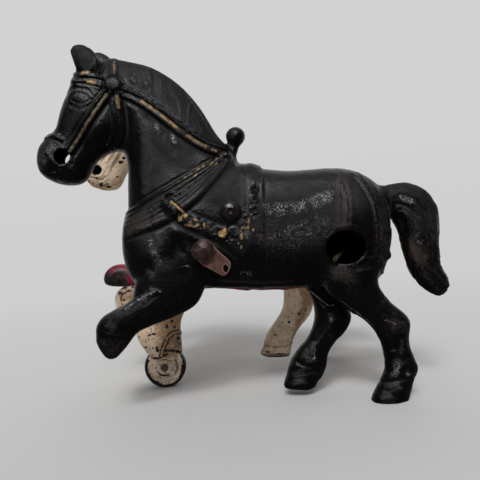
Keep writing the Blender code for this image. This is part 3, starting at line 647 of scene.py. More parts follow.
    # dents below the rein, darkened as painted shade, with painted glints
    r.line(curve([(140, 107), (151, 118), (161, 131), (170, 143), (178, 155)]), 8.0, -0.25, dark=1.0, ends=0.06)
    r.plate([(147, 112), (154, 113), (162, 122), (165, 133), (161, 141), (155, 132), (150, 122)], -0.34, 2.4, dark=1.0)
    r.plate([(165, 124), (171, 127), (178, 138), (180, 149), (175, 154), (169, 144), (165, 134)], -0.34, 2.4, dark=1.0)
    r.line(curve([(156, 121), (158, 126), (161, 131)]), 1.5, 0.22, ends=0.1)
    r.line(curve([(170, 131), (173, 138), (176, 147)]), 1.5, 0.22, ends=0.1)
    r.shine(157.5, 128, 6, 11, 0.85, -20)
    r.shine(173.5, 139, 6, 12, 0.85, -25)
    r.shine(163, 146, 10, 6, 0.45, 40)
    r.shine(144, 113, 5, 5, 0.6, 0)
    # painted shade in a crease
    r.line(curve([(178, 166), (186, 169.5), (194, 166), (199, 160)]), 1.6, -0.15, dark=0.5, ends=0.2)

    r.bossed(113.2, 85.2, 9.0, 7.2, 1.65)                   # rosette
    # painted shade round the rosette's edge; the rosette itself darkened and rougher
    r.ring(113.2, 85.2, 10.4, 8.8, 1.6, -0.35, dark=0.9)
    r.blob(113.2, 85.2, 9, 7.4, 0.0, flat=0.6, dark=0.6)

    # --- collar
    ring = list(COLLAR_TOP) + list(COLLAR_LOW[::-1])
    r.plate(ring, 0.52, 2.0, rub=0.14)
    for t, w, hh, rb in ((0.04, 1.6, 0.30, 0.2), (0.22, 1.9, 0.26, 0.25), (0.39, 1.9, 0.24, 0.3), (0.55, 1.9, 0.24, 0.4)):
        r.line(between(COLLAR_TOP, COLLAR_LOW, t), w, hh, rub=rb, ends=0.10)
    # painted shade in the grooves between the ridges
    for t in (0.12, 0.31, 0.47, 0.64):
        r.line(between(COLLAR_TOP, COLLAR_LOW, t), 0.9, -0.2, dark=0.6, ends=0.06)
    r.line(between(COLLAR_TOP, COLLAR_LOW, 0.83)[:-1], 4.4, 0.42, flat=0.5, rub=0.5, ends=0.05)
    # painted shadow under the collar's lower edge and a fainter one along its upper edge
    r.line(shifted(COLLAR_LOW, -2.2), 2.6, -0.34, dark=0.9, ends=0.03)
    r.line(shifted(COLLAR_TOP, 3.2), 2.0, -0.28, dark=0.5)
    r.plate([(126, 219), (146, 208), (152, 216), (142, 230), (125, 237)], 0.0, 6.0, rub=0.85)
    r.blob(228, 158, 6, 5, 0.4, turn=40)
    for cx, cy, a, b, tn in ((184.5, 177.5, 4.6, 1.0, -30), (190.5, 173.8, 4.2, 1.1, -34), (197.5, 169.6, 4.8, 2.3, -30),
                             (203.5, 166.2, 4.2, 2.0, -28), (195.5, 175.2, 4.4, 1.2, -42), (201.0, 172.0, 3.0, 0.9, -38),
                             (211.5, 163.0, 5.0, 1.5, -36), (216.5, 159.3, 4.0, 1.2, -32), (216.0, 164.0, 3.4, 1.4, -50),
                             (221.5, 156.2, 3.4, 0.9, -32), (225.5, 153.6, 2.4, 0.9, -20), (178, 181.5, 2.4, 0.7, -32)):
        r.blob(cx, cy, a, b, 0.10, turn=tn, flat=0.4, gold=0.95)

    # --- hame tug: loop, thick twisted trace, buckle and stud
    tug = curve([(168, 205), (176, 211), (184, 217.5), (192, 222.0), (200, 225.5), (208, 228.8), (216, 232), (223, 234)])
    # painted shadow under the tug and a fainter one above it
    r.line(shifted(tug, 9.5), 4.5, -0.3, dark=1.0, ends=0.05)
    r.line(shifted(tug, -8.5)[8:], 3.0, -0.2, dark=0.9, ends=0.05)
    r.line(tug, 7.0, 1.15, flat=1.6)
    # grooves between the twists, painted black as shade
    for cx, cy, tn in ((187.5, 219.5, 70), (194.0, 222.5, 62), (200.5, 225.4, 75), (208.0, 228.4, 65), (215.0, 231.2, 75)):
        c, s = math.cos(math.radians(tn)), math.sin(math.radians(tn))
        r.line([(cx - 6 * c, cy - 6 * s), (cx + 6 * c, cy + 6 * s)], 2.5, -0.85, dark=1.0)
    r.plate([(164, 204), (171, 199.5), (180, 206), (184, 212), (176, 219), (166, 214)], 0.42, 1.8)
    r.ring(171.5, 197.5, 4.4, 3.6, 1.6, 0.45, turn=-20)
    stem = curve([(171.5, 201.5), (175.5, 205), (180, 208.8), (184, 213), (186.5, 215.5)])
    r.line(stem, 2.0, 0.42, flat=1.0, gold=1.0)
    r.blob(171.6, 202.6, 3.0, 2.3, 0.3, flat=0.4, gold=1.0)
    r.line(curve([(184, 213), (181, 217), (179, 221)]), 1.7, 0.3, flat=0.5, gold=0.9)
    for cx, cy, a, b, tn in ((195.5, 219.6, 3.4, 1.8, 15), (187, 225.2, 4.4, 1.6, 12), (193.5, 226.2, 4.0, 1.6, 0),
                             (204.2, 224.6, 1.7, 3.6, 10), (211.2, 229.4, 3.2, 1.6, 20), (181.5, 219.5, 2.4, 1.4, -50),
                             (190.5, 221.3, 2.2, 1.0, 20), (200.5, 228.6, 2.0, 1.0, 20), (214.5, 233.8, 2.4, 1.0, 20),
                             (207.8, 226.2, 1.2, 1.8, 0), (190.5, 223.8, 3.4, 2.0, 25), (197.6, 224.6, 2.0, 2.2, 10),
                             (204.6, 227.4, 1.5, 2.6, 0), (184.6, 216.6, 1.4, 2.6, -20), (178.6, 216.5, 1.5, 3.4, 12)):
        r.blob(cx, cy, 1.22 * a, 1.22 * b, 0.12, turn=tn, flat=0.4, gold=0.97)
    r.plate([(217.3, 233.5), (219, 231), (222.5, 229), (224.7, 227), (227, 228.3), (226.5, 234.5), (224.3, 238.5),
             (219, 237)], 0.5, 0.9, gold=1.0)
    rng = np.random.RandomState(12)
    for k in range(30):
        u = rng.rand()
        cx, cy = 229 + 24 * u + 3.0 * rng.randn(), 241 - 14 * u + 6.0 * rng.randn()
        a, b, tn = 1.0 + 1.9 * rng.rand(), 0.8 + 1.0 * rng.rand(), 180 * rng.rand()
        lit = 0.95 if rng.rand() < 0.72 else 0.0
        if math.hypot(cx - 233.6, cy - 231.8) > 6.5 and cx < 258 and 213 < cy < 252:
            r.blob(cx, cy, a, b, 0.30, turn=tn, flat=0.3, gold=lit)
    for cx, cy, a, b, tn in ((248.8, 222, 1.5, 3.6, 8), (248.2, 227.5, 1.4, 3.0, -10), (253.4, 229.8, 1.6, 2.6, 10),
                             (241.5, 237.8, 1.9, 3.4, 15), (241.2, 247.0, 1.3, 3.0, 0), (246.8, 232.6, 2.2, 1.2, 30),
                             (230.2, 237.2, 1.8, 1.1, 20), (251.5, 214.5, 2.6, 1.6, -30), (238.6, 243.4, 1.4, 1.6, 0)):
        r.blob(cx, cy, 1.15 * a, 1.15 * b, 0.16, turn=tn, flat=0.4, gold=0.98)
    # darker and rougher round the buckle, painted shade round the stud, then painted glints
    r.plate([(227, 240), (240, 223), (254, 214), (258, 222), (254, 240), (244, 254), (234, 252)], -0.05, 4.0, dark=0.9)
    for q in (3, 9, 15, 20):
        r.blob(*tug[min(q, len(tug) - 1)], 2.6, 3.6, 0.3, turn=25)
    r.ring(233.6, 231.8, 7.0, 6.8, 1.6, -0.25, dark=1.0)
    r.bossed(233.6, 231.8, 6.0, 5.8, 1.75)
    r.shine(245, 233, 14, 15, 0.75, 0)
    # painted shadow below the tug
    r.line(curve([(205, 238), (214, 243), (226, 250), (238, 260)]), 3.6, -0.2, dark=1.0, ends=0.08)

    # --- saddle and girth
    r.blob(254.5, 160, 12.5, 15, 1.05, flat=0.45)
    r.line([(237, 156), (240, 170)], 5.0, -0.35)
    strap = [(248.5, 172), (262, 172), (263.5, 200), (263.5, 240), (262.5, 290), (247.5, 290), (248.5, 240), (248.5, 200)]
    r.plate(strap, 0.24, 2.6)
    # painted shade along the grooves beside the girth
    r.line([(246.2, 176), (246.2, 198), (247.2, 216)], 2.4, -0.14, dark=0.6, ends=0.25)
    r.line(curve([(257, 164), (261.5, 176), (262.0, 200), (262.8, 225), (262.5, 286)]), 1.1, 0.24)
    r.line(curve([(259, 212), (259.6, 230), (259.0, 262), (258, 286)]), 1.0, 0.2)
    r.line([(265, 172), (266.5, 215), (266.5, 286)], 2.2, -0.16, dark=0.6, ends=0.1)
    # rings with painted shade in their middles
    for cx, cy in ((254.2, 190), (254.6, 200), (254.8, 210)):
        r.ring(cx, cy, 3.0, 3.4, 1.5, 0.50, rub=0.8)
        r.blob(cx, cy, 1.9, 2.1, -0.4, dark=1.0)
    r.line([(254, 182), (254.3, 187)], 1.3, 0.25)
    r.ring(244, 275, 3.8, 3.4, 1.2, 0.3, gold=0.8, a=120, b=360)
    # painted glints
    r.shine(248, 275, 10, 8, 0.6, 0)

    # --- breeching and rump
    r.plate(curve([(335, 169), (345, 172), (352, 190), (352.5, 210), (351, 226), (338, 228), (337, 205), (336, 185)]),
            0.16, 3.0, rub=0.55)
    r.line(curve([(334.5, 172), (339, 186), (340, 205), (339, 227)]), 1.2, 0.24, rub=0.6, ends=0.06)
    r.line(curve([(337, 172), (343.5, 190), (346.6, 206), (345.8, 227)]), 1.2, 0.30, rub=0.65, ends=0.06)
    # painted shade along the grooves of the breeching, the rump strap and the hem, and in the nick
    r.line(curve([(333, 190), (335, 205), (334, 226)]), 1.6, -0.1, dark=0.7, ends=0.1)
    rump = curve([(350, 172), (360, 182), (370, 197), (375, 214), (376.5, 232), (376, 258)])
    r.line(rump, 1.4, 0.36, rub=0.6, ends=0.06)
    r.line(shifted(rump, 3.0), 1.2, -0.18, dark=0.5, ends=0.08)
    r.line(shifted(rump, -4.4), 1.2, 0.18, rub=0.35, ends=0.1)
    r.line(shifted(rump, -8.6)[6:], 1.2, 0.16, rub=0.45, ends=0.1)
    r.plate([(377, 206), (390, 206), (391, 262), (377, 262)], 0.06, 5.0, rub=0.45)
    for dx in (380.5, 384, 387.5):
        r.line([(dx, 205), (dx + 0.8, 232), (dx, 258)], 1.1, 0.16, rub=0.35, ends=0.15)
    hem = curve([(352, 263.5), (364, 262), (376, 261.5), (389, 260.5)])
    r.strap(hem, [(-1.8, 0.05)], 2.8, 0.10, 4.6)
    r.line(shifted(hem, 5.8), 4.0, -0.10, dark=0.7, ends=0.2)
    r.blob(388.5, 255.5, 4.5, 6, 0.55, flat=0.2)
    r.ring(345.7, 246, 23.0, 19.6, 4.2, 0.20)
    r.line([(326, 236), (331, 230)], 1.3, -0.4, dark=1.0)
    r.plate([(326, 262), (356, 264), (358, 284), (328, 282)], 0.0, 8.0, rub=0.5)
    r.blob(325.3, 281.5, 2.2, 4.0, 0.1, turn=10, gold=0.80)
    r.blob(331.0, 286.5, 1.5, 3.4, 0.1, turn=-25, gold=0.72)
    # painted glints
    r.shine(342, 270, 13, 7, 0.5, 0)
    # pitted enamel of the barrel: darkened and rougher, with painted glints
    r.blob(298, 207, 54, 36, 0.0, flat=0.5, dark=0.80)
    r.glitter(curve([(268, 208), (284, 209), (304, 206), (321, 199), (329, 196)]), 20, 0.845)
    r.glitter(curve([(274, 236), (300, 234), (322, 222)]), 38, 0.62)
    r.glitter(curve([(284, 230), (300, 225), (316, 215)]), 12, 0.70)
    r.glitter([(268, 208), (284, 209)], 15, 0.858)
    r.glitter([(316, 200), (327, 196)], 12, 0.858)
    # darkened and rougher at the shoulder and the jaw, with painted glints
    r.blob(146, 250, 24, 24, 0.0, dark=0.62)
    r.blob(72, 118, 9, 20, 0.0, turn=25, dark=0.5)
    r.glitter([(149, 238), (153, 250), (158, 262)], 15, 0.72)
    r.shine(340, 200, 60, 30, 0.16, 0)
    r.shine(145, 160, 9, 40, 0.30, 0)

    # painted highlights in short lines and small glints
    for pts in ([(46, 137.5), (51, 134.8), (56, 135.6)], [(45, 147), (47.5, 150.5), (48, 154)], [(50, 145.5), (55, 144), (59, 144.8)],
                [(155, 122), (157, 126), (160, 129)], [(158.5, 133), (160, 137), (162, 140)], [(171, 133), (173.5, 137), (175, 142)],
                [(169, 143), (171, 146), (173, 150)], [(133.5, 78), (135, 82), (137.5, 84)], [(183, 267.5), (187, 266.5), (190, 267.5)],
                [(148, 241), (150.5, 244), (150, 248)], [(228, 151), (231, 154), (234, 158)]):
        r.gleam(curve(pts), 0.5, 0.97)

    # --- tail
    mid = curve([(372, 196), (388, 198), (404, 202), (416, 212), (420, 228), (421, 244), (425, 262), (434, 280), (442, 292)])
    i = np.nonzero((x > 380) & (x < 456) & (y > 178) & (y < 302))[0]
    if len(i):
        d, t = away(x[i], y[i], mid)
        # signed side of the middle line
        k = np.minimum((t * (len(mid) - 1)).astype(int), len(mid) - 2)
        tan = mid[k + 1] - mid[k]
        sgn = np.sign(tan[:, 0] * (y[i] - mid[k][:, 1]) - tan[:, 1] * (x[i] - mid[k][:, 0]))
        s = sgn * d
        ph = s / 12.0 * 2 * math.pi + 3.0 * t * 2 + 1.5 * np.sin(t * 7) + 2.6 * wob[i]
        g = np.sin(ph)
        kk = ease((t - 0.14) / 0.12)
        r.h[i] += kk * (0.22 * g + 0.11 * np.sin(2.6 * ph + 1 + 2 * fuzz[i]) + 0.05 * np.sin(5.3 * ph))
        # painted shade in the grooves between the strands
        r.dark[i] = np.maximum(r.dark[i], kk * 0.5 * ease((-g - 0.2) / 0.6))
        r.rub[i] = np.maximum(r.rub[i], 0.40 * ease((t - 0.42) / 0.2) * ease((g + 0.4) / 0.9))
    r.blob(417, 252, 13, 27, 0.0, turn=-22, flat=0.2, rub=0.95)
    # painted shade over the root and the back of the tail, also rougher
    r.blob(400, 190, 26, 14, 0.0, turn=15, flat=0.5, dark=1.0)
    r.blob(426, 212, 14, 28, 0.0, flat=0.5, dark=1.0)
    # painted glints
    r.shine(420, 256, 10, 30, 0.42, -20)
    r.shine(412, 222, 10, 22, 0.40, -10)
    r.blob(402, 226, 6, 16, 0.0, turn=-15, rub=0.4)
    r.blob(399, 193, 14, 8, 0.3, turn=20)
    r.line(curve([(392, 198), (399, 193), (408, 194), (418, 200), (425, 210)]), 1.8, 0.45, ends=0.06)
    # painted shade in the grooves at the root, then painted glints and a painted highlight line
    r.line(curve([(394, 204), (404, 205), (414, 210), (420, 218)]), 3.0, -0.35, dark=1.0, ends=0.06)
    r.line(curve([(386, 187), (390, 200), (391, 212)]), 2.2, -0.4, dark=1.0)
    r.shine(406, 199, 17, 7, 0.85, 22)
    r.gleam(curve([(433, 210), (437, 222), (438, 236)]), 0.3, 0.90)
    r.shine(433, 235, 4, 26, 0.4, 0)

    # --- knob of the check hook
    # darkened and rougher as painted shade, with painted glints
    r.blob(227.5, 158, 5.5, 5.5, 0.0, dark=0.9)
    r.shine(224, 154, 5, 3, 0.8, -20)


def limbs(r, p):
    """Muscles, joints and hoofs of the legs, with painted shade, glints and highlight lines, at their own places in the
    drawing (true distance from the eye).
    """
    low = ease((r.y - 318) / 25) * (p[:, 2] < 36)
    r.h += low * (0.14 * noise(p, 2.6, 51) + 0.05 * noise(p, 1.3, 52))
    # raised outer foreleg of the near horse
    r.line(curve([(112, 322), (126, 308), (139, 298.5), (150, 293), (158, 292)]), 3.2, 0.40, ends=0.12)
    r.line(curve([(148, 289), (156, 291.5), (162, 295)]), 2.4, 0.35, ends=0.15)
    r.blob(120, 316, 12, 9, 0.3)
    # painted shade in a crease
    r.line(curve([(98, 329), (112, 333), (131, 335)]), 2.4, -0.16, dark=0.4, ends=0.1)
    r.plate([(97, 338), (128, 340), (120, 358), (108, 358)], 0.0, 4.0, rub=0.40)
    # painted glints and painted highlight lines along the ridge of the leg
    r.shine(139, 303, 26, 7, 0.55, -32)
    r.shine(114, 322, 16, 7, 0.4, -40)
    r.shine(149, 273, 12, 5, 0.4, 60)
    r.gleam(curve([(136, 301.0), (143, 297.0), (150, 293.6), (157, 290.6)]), 1.1, 0.925)
    r.gleam(curve([(155.5, 289.0), (159, 290.8), (161.5, 292.8)]), 0.7, 0.97)
    r.gleam(curve([(124, 309.5), (130, 305.0), (137, 300.8)]), 0.8, 0.90)
    r.shine(146, 296, 18, 4.5, 0.84, -28)
    r.shine(128, 309, 18, 4.5, 0.62, -36)
    r.shine(150, 303, 14, 3.5, 0.50, -35)
    r.shine(112, 330, 9, 5, 0.45, -50)
    # painted highlight lines and painted glints on the edge of the flank, the hocks, fetlocks and hoofs
    r.gleam(curve([(309, 289.5), (317, 296.5), (325, 303), (330, 305.8), (335.5, 303.2)]), 0.8)
    r.gleam(curve([(384, 320), (391, 322.5), (397, 325)]), 0.7, 0.94)
    r.gleam(curve([(396, 361), (399, 366), (397, 371)]), 0.7, 0.94)
    r.gleam(curve([(313, 352), (315, 357), (312, 360)]), 0.8, 0.96)
    for cx, cy, a, b, amount in ((396, 372, 7, 9, 0.82), (402, 347, 4, 14, 0.55), (313, 350, 5, 9, 0.80), (300, 372, 10, 5, 0.60),
                                 (396, 388, 12, 6, 0.55), (386, 398, 10, 4, 0.45), (300, 383, 12, 4, 0.50), (408, 374, 5, 5, 0.7),
                                 (331, 335, 5, 12, 0.55)):
        r.shine(cx, cy, a, b, amount, 0)
    r.gleam(curve([(330, 318), (333, 320)]), 0.8, 0.97)
    r.gleam(curve([(340, 300), (352, 309), (366, 319), (376, 328)]), 0.5, 0.92)
    # rearmost hind leg
    # painted shade in the crease, further down round the coronet, then painted glints on the fetlock
    r.line(curve([(384, 322), (392, 338), (394, 352)]), 4.5, -0.45, dark=0.4, ends=0.1)
    r.line(curve([(403, 320), (404, 338), (406, 352)]), 3.4, 0.3, ends=0.1)
    r.line(curve([(376, 326), (384, 344), (387, 358)]), 3.0, 0.3, ends=0.1)
    r.plate([(380, 314), (404, 316), (408, 332), (388, 334)], 0.08, 6.0, rub=0.42)
    r.blob(398, 314, 10, 7, 0.3, turn=30)
    r.blob(399, 366, 9, 6.5, 0.55, turn=20)
    r.blob(388, 362, 5, 8, 0.35)
    r.blob(402, 352, 5, 7, 0.25)
    r.line(curve([(378, 381), (388, 383), (400, 380), (413, 379)]), 3.0, -0.30, dark=0.8, ends=0.04)
    r.line(curve([(390, 372), (400, 377), (412, 376)]), 1.8, -0.25, dark=0.6, ends=0.1)
    r.line(curve([(382, 373), (392, 376), (404, 375)]), 3.0, 0.1, ends=0.2)
    r.line(curve([(378, 388), (388, 391), (398, 389)]), 2.4, -0.14, dark=0.4, ends=0.15)
    r.blob(412, 373, 6, 6, 0.25)
    r.line(curve([(352, 300), (364, 310), (378, 318)]), 3.0, -0.3, ends=0.1)
    r.line(curve([(338, 296), (346, 305), (356, 314)]), 2.0, 0.3, ends=0.1)
    r.shine(397, 366, 9, 11, 0.6, 0)
    r.shine(394, 325, 12, 8, 0.3, 0)
    # inner hind leg and the edge of the flank above it
    r.line(curve([(307, 286), (315, 293), (325, 302), (330, 305.5), (335, 303.5)]), 2.3, 0.85, flat=0.5, ends=0.04)
    # painted shadow under the edge of the flank, then painted glints along it
    r.line(curve([(308, 291), (317, 299), (326, 307)]), 2.0, -0.4, dark=1.0, ends=0.06)
    r.shine(320, 297, 17, 3, 0.4, 40)
    r.line(curve([(328, 312), (331, 324), (322, 338), (312, 350)]), 3.2, 0.35, ends=0.1)
    r.line(curve([(340, 314), (339, 326), (327, 343)]), 3.4, -0.35, ends=0.1)
    r.blob(303, 357, 8, 6.5, 0.5, turn=-30)
    r.blob(314, 362, 7, 6, 0.45)
    r.blob(296, 366, 5, 5, 0.3)
    # painted shade round the coronet, then painted glints on the fetlock
    r.line(curve([(290, 371), (300, 374), (312, 372), (322, 374)]), 2.8, -0.28, dark=0.8, ends=0.04)
    r.line(curve([(296, 362), (304, 366), (312, 368)]), 1.6, -0.22, dark=0.6, ends=0.1)
    r.line(curve([(292, 363), (300, 367), (310, 367)]), 2.8, 0.1, ends=0.2)
    r.shine(309, 357, 9, 9, 0.6, 0)
    r.shine(332, 319, 7, 8, 0.7, 0)


def off_visible(r, p):
    """Cream horse, at its own places in the drawing: bridle on the jaw, worn spots, fetlocks, with painted shade and
    painted light.
    """
    r.strap(curve([(122, 148), (113, 158), (108, 168)]), [(-2.2, 0.35), (2.2, 0.35)], 1.5, 0.25, 3.6)
    r.ring(96.5, 170, 7.0, 7.0, 1.6, 0.35)
    r.blob(96.5, 170, 6.2, 6.2, 0.0, flat=0.75, gold=1.0)
    # dark lines along the mouth and straps: painted shade
    r.line(curve([(84, 178), (92, 177), (100, 180), (106, 177)]), 1.5, -0.4, gold=0.45, dark=0.8)
    r.line(curve([(121, 150), (112, 160), (107, 170)]), 1.3, 0.0, dark=0.8)
    r.line(curve([(112, 150), (104, 158), (100, 163)]), 1.6, -0.2, gold=0.4, dark=0.9)
    r.plate([(88, 180), (112, 182), (106, 194), (90, 190)], 0.0, 3.0, rub=0.7, gold=0.30)
    r.line(curve([(88, 184), (96, 186), (104, 184)]), 1.8, 0.3)
    for cx, cy, a, b in ((121, 162, 3.0, 1.8), (101, 185, 2.4, 2.2), (88, 181.5, 2.4, 1.4), (97, 178, 2.2, 1.0),
                         (124, 158, 2.2, 1.6), (109, 187, 2.6, 1.2), (92, 164, 1.6, 1.2), (117, 177, 1.5, 1.0),
                         (150, 335, 1.6, 1.4), (167, 327, 1.8, 1.6), (172, 321, 1.6, 1.6), (154, 334, 2.0, 1.6),
                         (145, 325, 1.3, 1.0), (178, 338, 2.0, 1.6), (157, 349, 1.4, 3.2), (299, 314, 1.7, 1.4),
                         (289, 322, 1.7, 1.2), (268, 352, 3.4, 0.9), (280, 354, 4.5, 0.9), (275, 335, 1.3, 1.0),
                         (129, 291, 2.6, 1.2), (120, 293, 2.2, 1.4), (133, 287, 1.6, 1.2), (124, 300, 2.0, 1.0)):
        r.blob(cx, cy, 1.35 * a, 1.35 * b, -0.05, flat=0.35, gold=1.0)
    strap = curve([(187, 333), (180, 332), (173, 333.5), (168, 338), (164.5, 345), (161.5, 356)])
    r.line(strap, 3.0, 0.35, flat=0.8)
    r.line(shifted(strap, -1.7), 1.5, 0.0, flat=0.4, gold=0.54)
    r.line(shifted(strap, 1.9), 1.9, -0.15, flat=0.4, gold=0.58, rub=1.0)
    r.line(curve([(166, 351), (173, 350.5), (179, 352.5), (184, 356.5)]), 2.6, 0.2, flat=0.4, gold=0.64, rub=1.0)
    r.line(curve([(147, 356), (154, 358.5), (161, 357.5), (167, 354)]), 2.4, 0.0, flat=0.4, gold=0.68, rub=0.8)
    rng = np.random.RandomState(7)
    for k in range(64):
        cx, cy = 138 + 48 * rng.rand(), 312 + 48 * rng.rand()
        a, b, tn = 0.8 + 2.4 * rng.rand(), 0.6 + 1.1 * rng.rand(), 180 * rng.rand()
        if rng.rand() < 0.36:
            r.blob(cx, cy, 0.8 * a, b, -0.04, turn=tn, flat=0.3, gold=0.85)
        else:
            r.blob(cx, cy, 1.5 * a, 1.5 * b, -0.05, turn=tn, flat=0.1, rub=1.0)
    for cx, cy, a, b, tn in ((159, 322, 3.2, 1.4, 30), (166, 318, 2.0, 2.6, 0), (175, 327, 3.4, 1.5, -20), (151, 329, 2.0, 1.2, 40),
                             (180, 344, 4.0, 1.4, 10), (158, 351, 3.0, 1.6, -30), (168, 343, 1.6, 3.0, 20), (184, 322, 1.4, 3.6, 0)):
        r.blob(cx, cy, a, b, 0.0, turn=tn, flat=0.2, gold=0.75)
    # brown on the right-hand, recessed part of the wheel leg: stain and painted shade
    r.plate([(172, 318), (180, 318), (178, 332), (170, 331)], 0.0, 3.0, rub=0.6)
    r.plate([(170, 336), (185, 336), (185, 350), (174, 350)], 0.0, 3.0, rub=1.0)
    r.plate([(150, 316), (188, 312), (188, 358), (160, 358)], 0.0, 5.0, rub=0.8)
    r.plate([(298, 286), (318, 286), (312, 306), (302, 312)], 0.0, 4.0, rub=0.9)
    r.line(curve([(308, 300), (300, 314), (296, 330), (296, 346)]), 4.5, 0.0, rub=0.85)
    r.line(curve([(268, 345), (262, 352)]), 3.0, 0.0, rub=0.6)
    r.line(curve([(258, 356), (275, 357), (294, 356)]), 1.6, 0.0, flat=0.5, gold=0.8)
    r.line(curve([(309, 296), (303, 312), (297, 328), (294, 346)]), 8, 0.0, rub=0.9)
    r.blob(303, 289, 8, 9, 0.0, flat=0.3, rub=0.9)
    # painted light: the paint of the off hind leg is brightened
    r.shine(282, 322, 30, 40, 1.0, 25)
    r.blob(281, 336, 15, 6, 0.55, turn=-8)
    r.line(curve([(262, 345), (276, 347), (292, 345)]), 3.0, -0.40, rub=0.8)
    r.blob(276, 352, 18, 5, 0.35)
    r.blob(301, 294, 2.2, 3.0, 0.0, gold=0.6)
    # painted shade along the bottom of the fetlock and in a crease above it
    r.plate([(258, 353), (294, 353), (294, 358), (258, 358)], 0.0, 1.2, dark=0.9)
    r.line(curve([(276, 338), (285, 341), (295, 340)]), 1.5, -0.35, dark=0.5)
    r.line(curve([(268, 334), (280, 336), (294, 334)]), 2.0, 0.35)
    r.line(curve([(293, 292), (288, 306), (280, 320)]), 3.0, 0.3, ends=0.1)
    r.line(curve([(146, 318), (150, 330), (149, 345)]), 2.6, -0.25, ends=0.1)
    r.line(curve([(114, 301), (115, 294), (119, 289), (126, 287.5)]), 2.6, -0.2, gold=0.85)
    r.line(curve([(121, 300), (122, 295), (126, 292.5)]), 1.8, -0.1, gold=0.8)
    r.blob(130, 291, 3.0, 1.5, 0.0, turn=-20, gold=0.85)
    r.blob(122, 304, 3.5, 1.6, 0.0, turn=40, gold=0.8)
    r.plate([(114, 287), (136, 286), (136, 300), (118, 306)], 0.0, 4.0, rub=0.7)


# ---------------------------------------------------------------- one cast horse
def off_warp(p):
    """The off horse is cast a little shorter and carries its head higher."""
    x, z = p
    return -64.0 + (x + 64.0) * 0.945, z + 3.5


def knob_warp(p):
    x, z = off_warp(p)
    return x - 1.5, z - 3.0


def tail_warp(p):
    x, z = off_warp(p)
    return x - 3.0 * min(max((p[0] - 50) / 20, 0), 1), z


def horse_mass(y0, warp, legs):
    """All masses of one horse, overlapping, before they are merged."""
    bm = bmesh.new()
    loft(bm, TORSO, y0, warp=warp, seg=72)
    loft(bm, NECK, y0, warp=warp)
    loft(bm, HEAD, y0, warp=warp)
    loft(bm, TAIL, y0, warp=tail_warp if warp else None)
    loft_ear(bm, [r[:5] + (-r[5],) for r in EAR], y0, warp)
    back, up = (0, 0) if warp else (11.5, -2.0)      # the near horse's inner ear is laid back
    loft_ear(bm, [(r[0] + back, r[1] + up, r[2] + back, r[3] + up, r[4], r[5]) for r in EAR], y0, warp)
    loft(bm, STALK, y0, warp=knob_warp if warp else None, seg=28)
    kx, kz = sheet(235.5, 136.5, EYE - HORSE_Y)
    if warp:
        kx, kz = knob_warp((kx, kz))
    ball(bm, (kx, y0, kz), 3.45)
    for rows, y, own in legs:
        loft(bm, rows, y, own_y=own)
    fix_normals(bm)
    return bm


def on_sheet(co, depth):
    """Points in mm back to drawing units."""
    a, b = co[:, 0] - SHIFT, co[:, 2] - LIFT
    u = a * math.cos(ROLL) - b * math.sin(ROLL)
    v = a * math.sin(ROLL) + b * math.cos(ROLL)
    return MID + u * SHEET / depth, MID - v * SHEET / depth


def reliefs(co, y0, warp):
    """Relief and masks at points in mm: the pattern of the outer face, mirrored on the inner one, and what is drawn in place."""
    flat = co.copy()
    if warp:
        flat[:, 0] = -64.0 + (flat[:, 0] + 64.0) / 0.945
        flat[:, 2] -= 3.5
    depth = EYE - HORSE_Y - np.abs(co[:, 1] - y0)
    r = Relief(*on_sheet(flat, depth))
    p = np.stack([flat[:, 0], np.abs(co[:, 1] - y0), flat[:, 2]], 1)
    r.on = p[:, 2] > 38.0
    harness(r, p)
    own = Relief(*on_sheet(co, EYE + co[:, 1]))
    (off_visible if warp else limbs)(own, p)
    if warp:
        k = ease((np.where(co[:, 2] > 50.0, 28.6, 36.0) - co[:, 1]) / 1.5)
        for m in (own.h, own.gold, own.rub, own.dark, own.painted_light_and_pits):
            m *= k
        outer = ease((co[:, 1] - y0) / 2.0)
        # painted shade in the grooves of the relief, stronger on the outer side, added to the stains and to the shade
        # mask
        groove = ease((-r.h - 0.04) / 0.30)
        stains_and_groove_shade = np.maximum.reduce([0.6 * r.rub, own.rub, (0.42 + 0.22 * outer) * groove])
        dark = np.maximum.reduce([0.40 * r.dark, own.dark, (0.30 + 0.22 * outer) * groove])
        return (0.85 + 0.25 * outer) * r.h + own.h, own.gold, stains_and_groove_shade, dark, own.painted_light_and_pits
    return (r.h + own.h, r.gold, np.maximum(r.rub, own.rub), np.maximum(r.dark, own.dark),
            np.maximum(r.painted_light_and_pits, own.painted_light_and_pits))


def skin(name, bm, y0, warp):
    """One skin around all the masses, with the cast relief in it."""
    ob = bm_object(name, bm)
    for size, rounds in ((0.9, 5), (FINE, 8)):
        m = ob.modifiers.new("merge", "REMESH")
        m.mode, m.voxel_size, m.adaptivity = "VOXEL", size * MM, 0.0
        s = ob.modifiers.new("ease", "SMOOTH")
        s.factor, s.iterations = 0.5, rounds
    baked(ob)
    co, no = verts_of(ob)
    mm = co / MM
    h = reliefs(mm, y0, warp)[0]
    h += 0.24 + 0.03 * noise(mm, 1.1, 5) + 0.03 * noise(mm, 3.1, 6)
    mm = mm + no * h[:, None]
    # the flank stays clear of the trace link
    near_pin = np.hypot(mm[:, 0] - pin_x, mm[:, 2] - pin_z) < 14.0
    mm[near_pin, 1] = np.clip(mm[near_pin, 1], y0 - 13.05, y0 + 13.05)
    move_to(ob, mm * MM)
    return ob


def core(name, y0, warp):
    """The hollow inside the barrel and the root of the neck."""
    bm = bmesh.new()
    loft(bm, TORSO[1:-1], y0, warp=warp, inset=WALL, seg=32, sub=3, power=2.1)
    fix_normals(bm)
    return bm_object(name, bm)


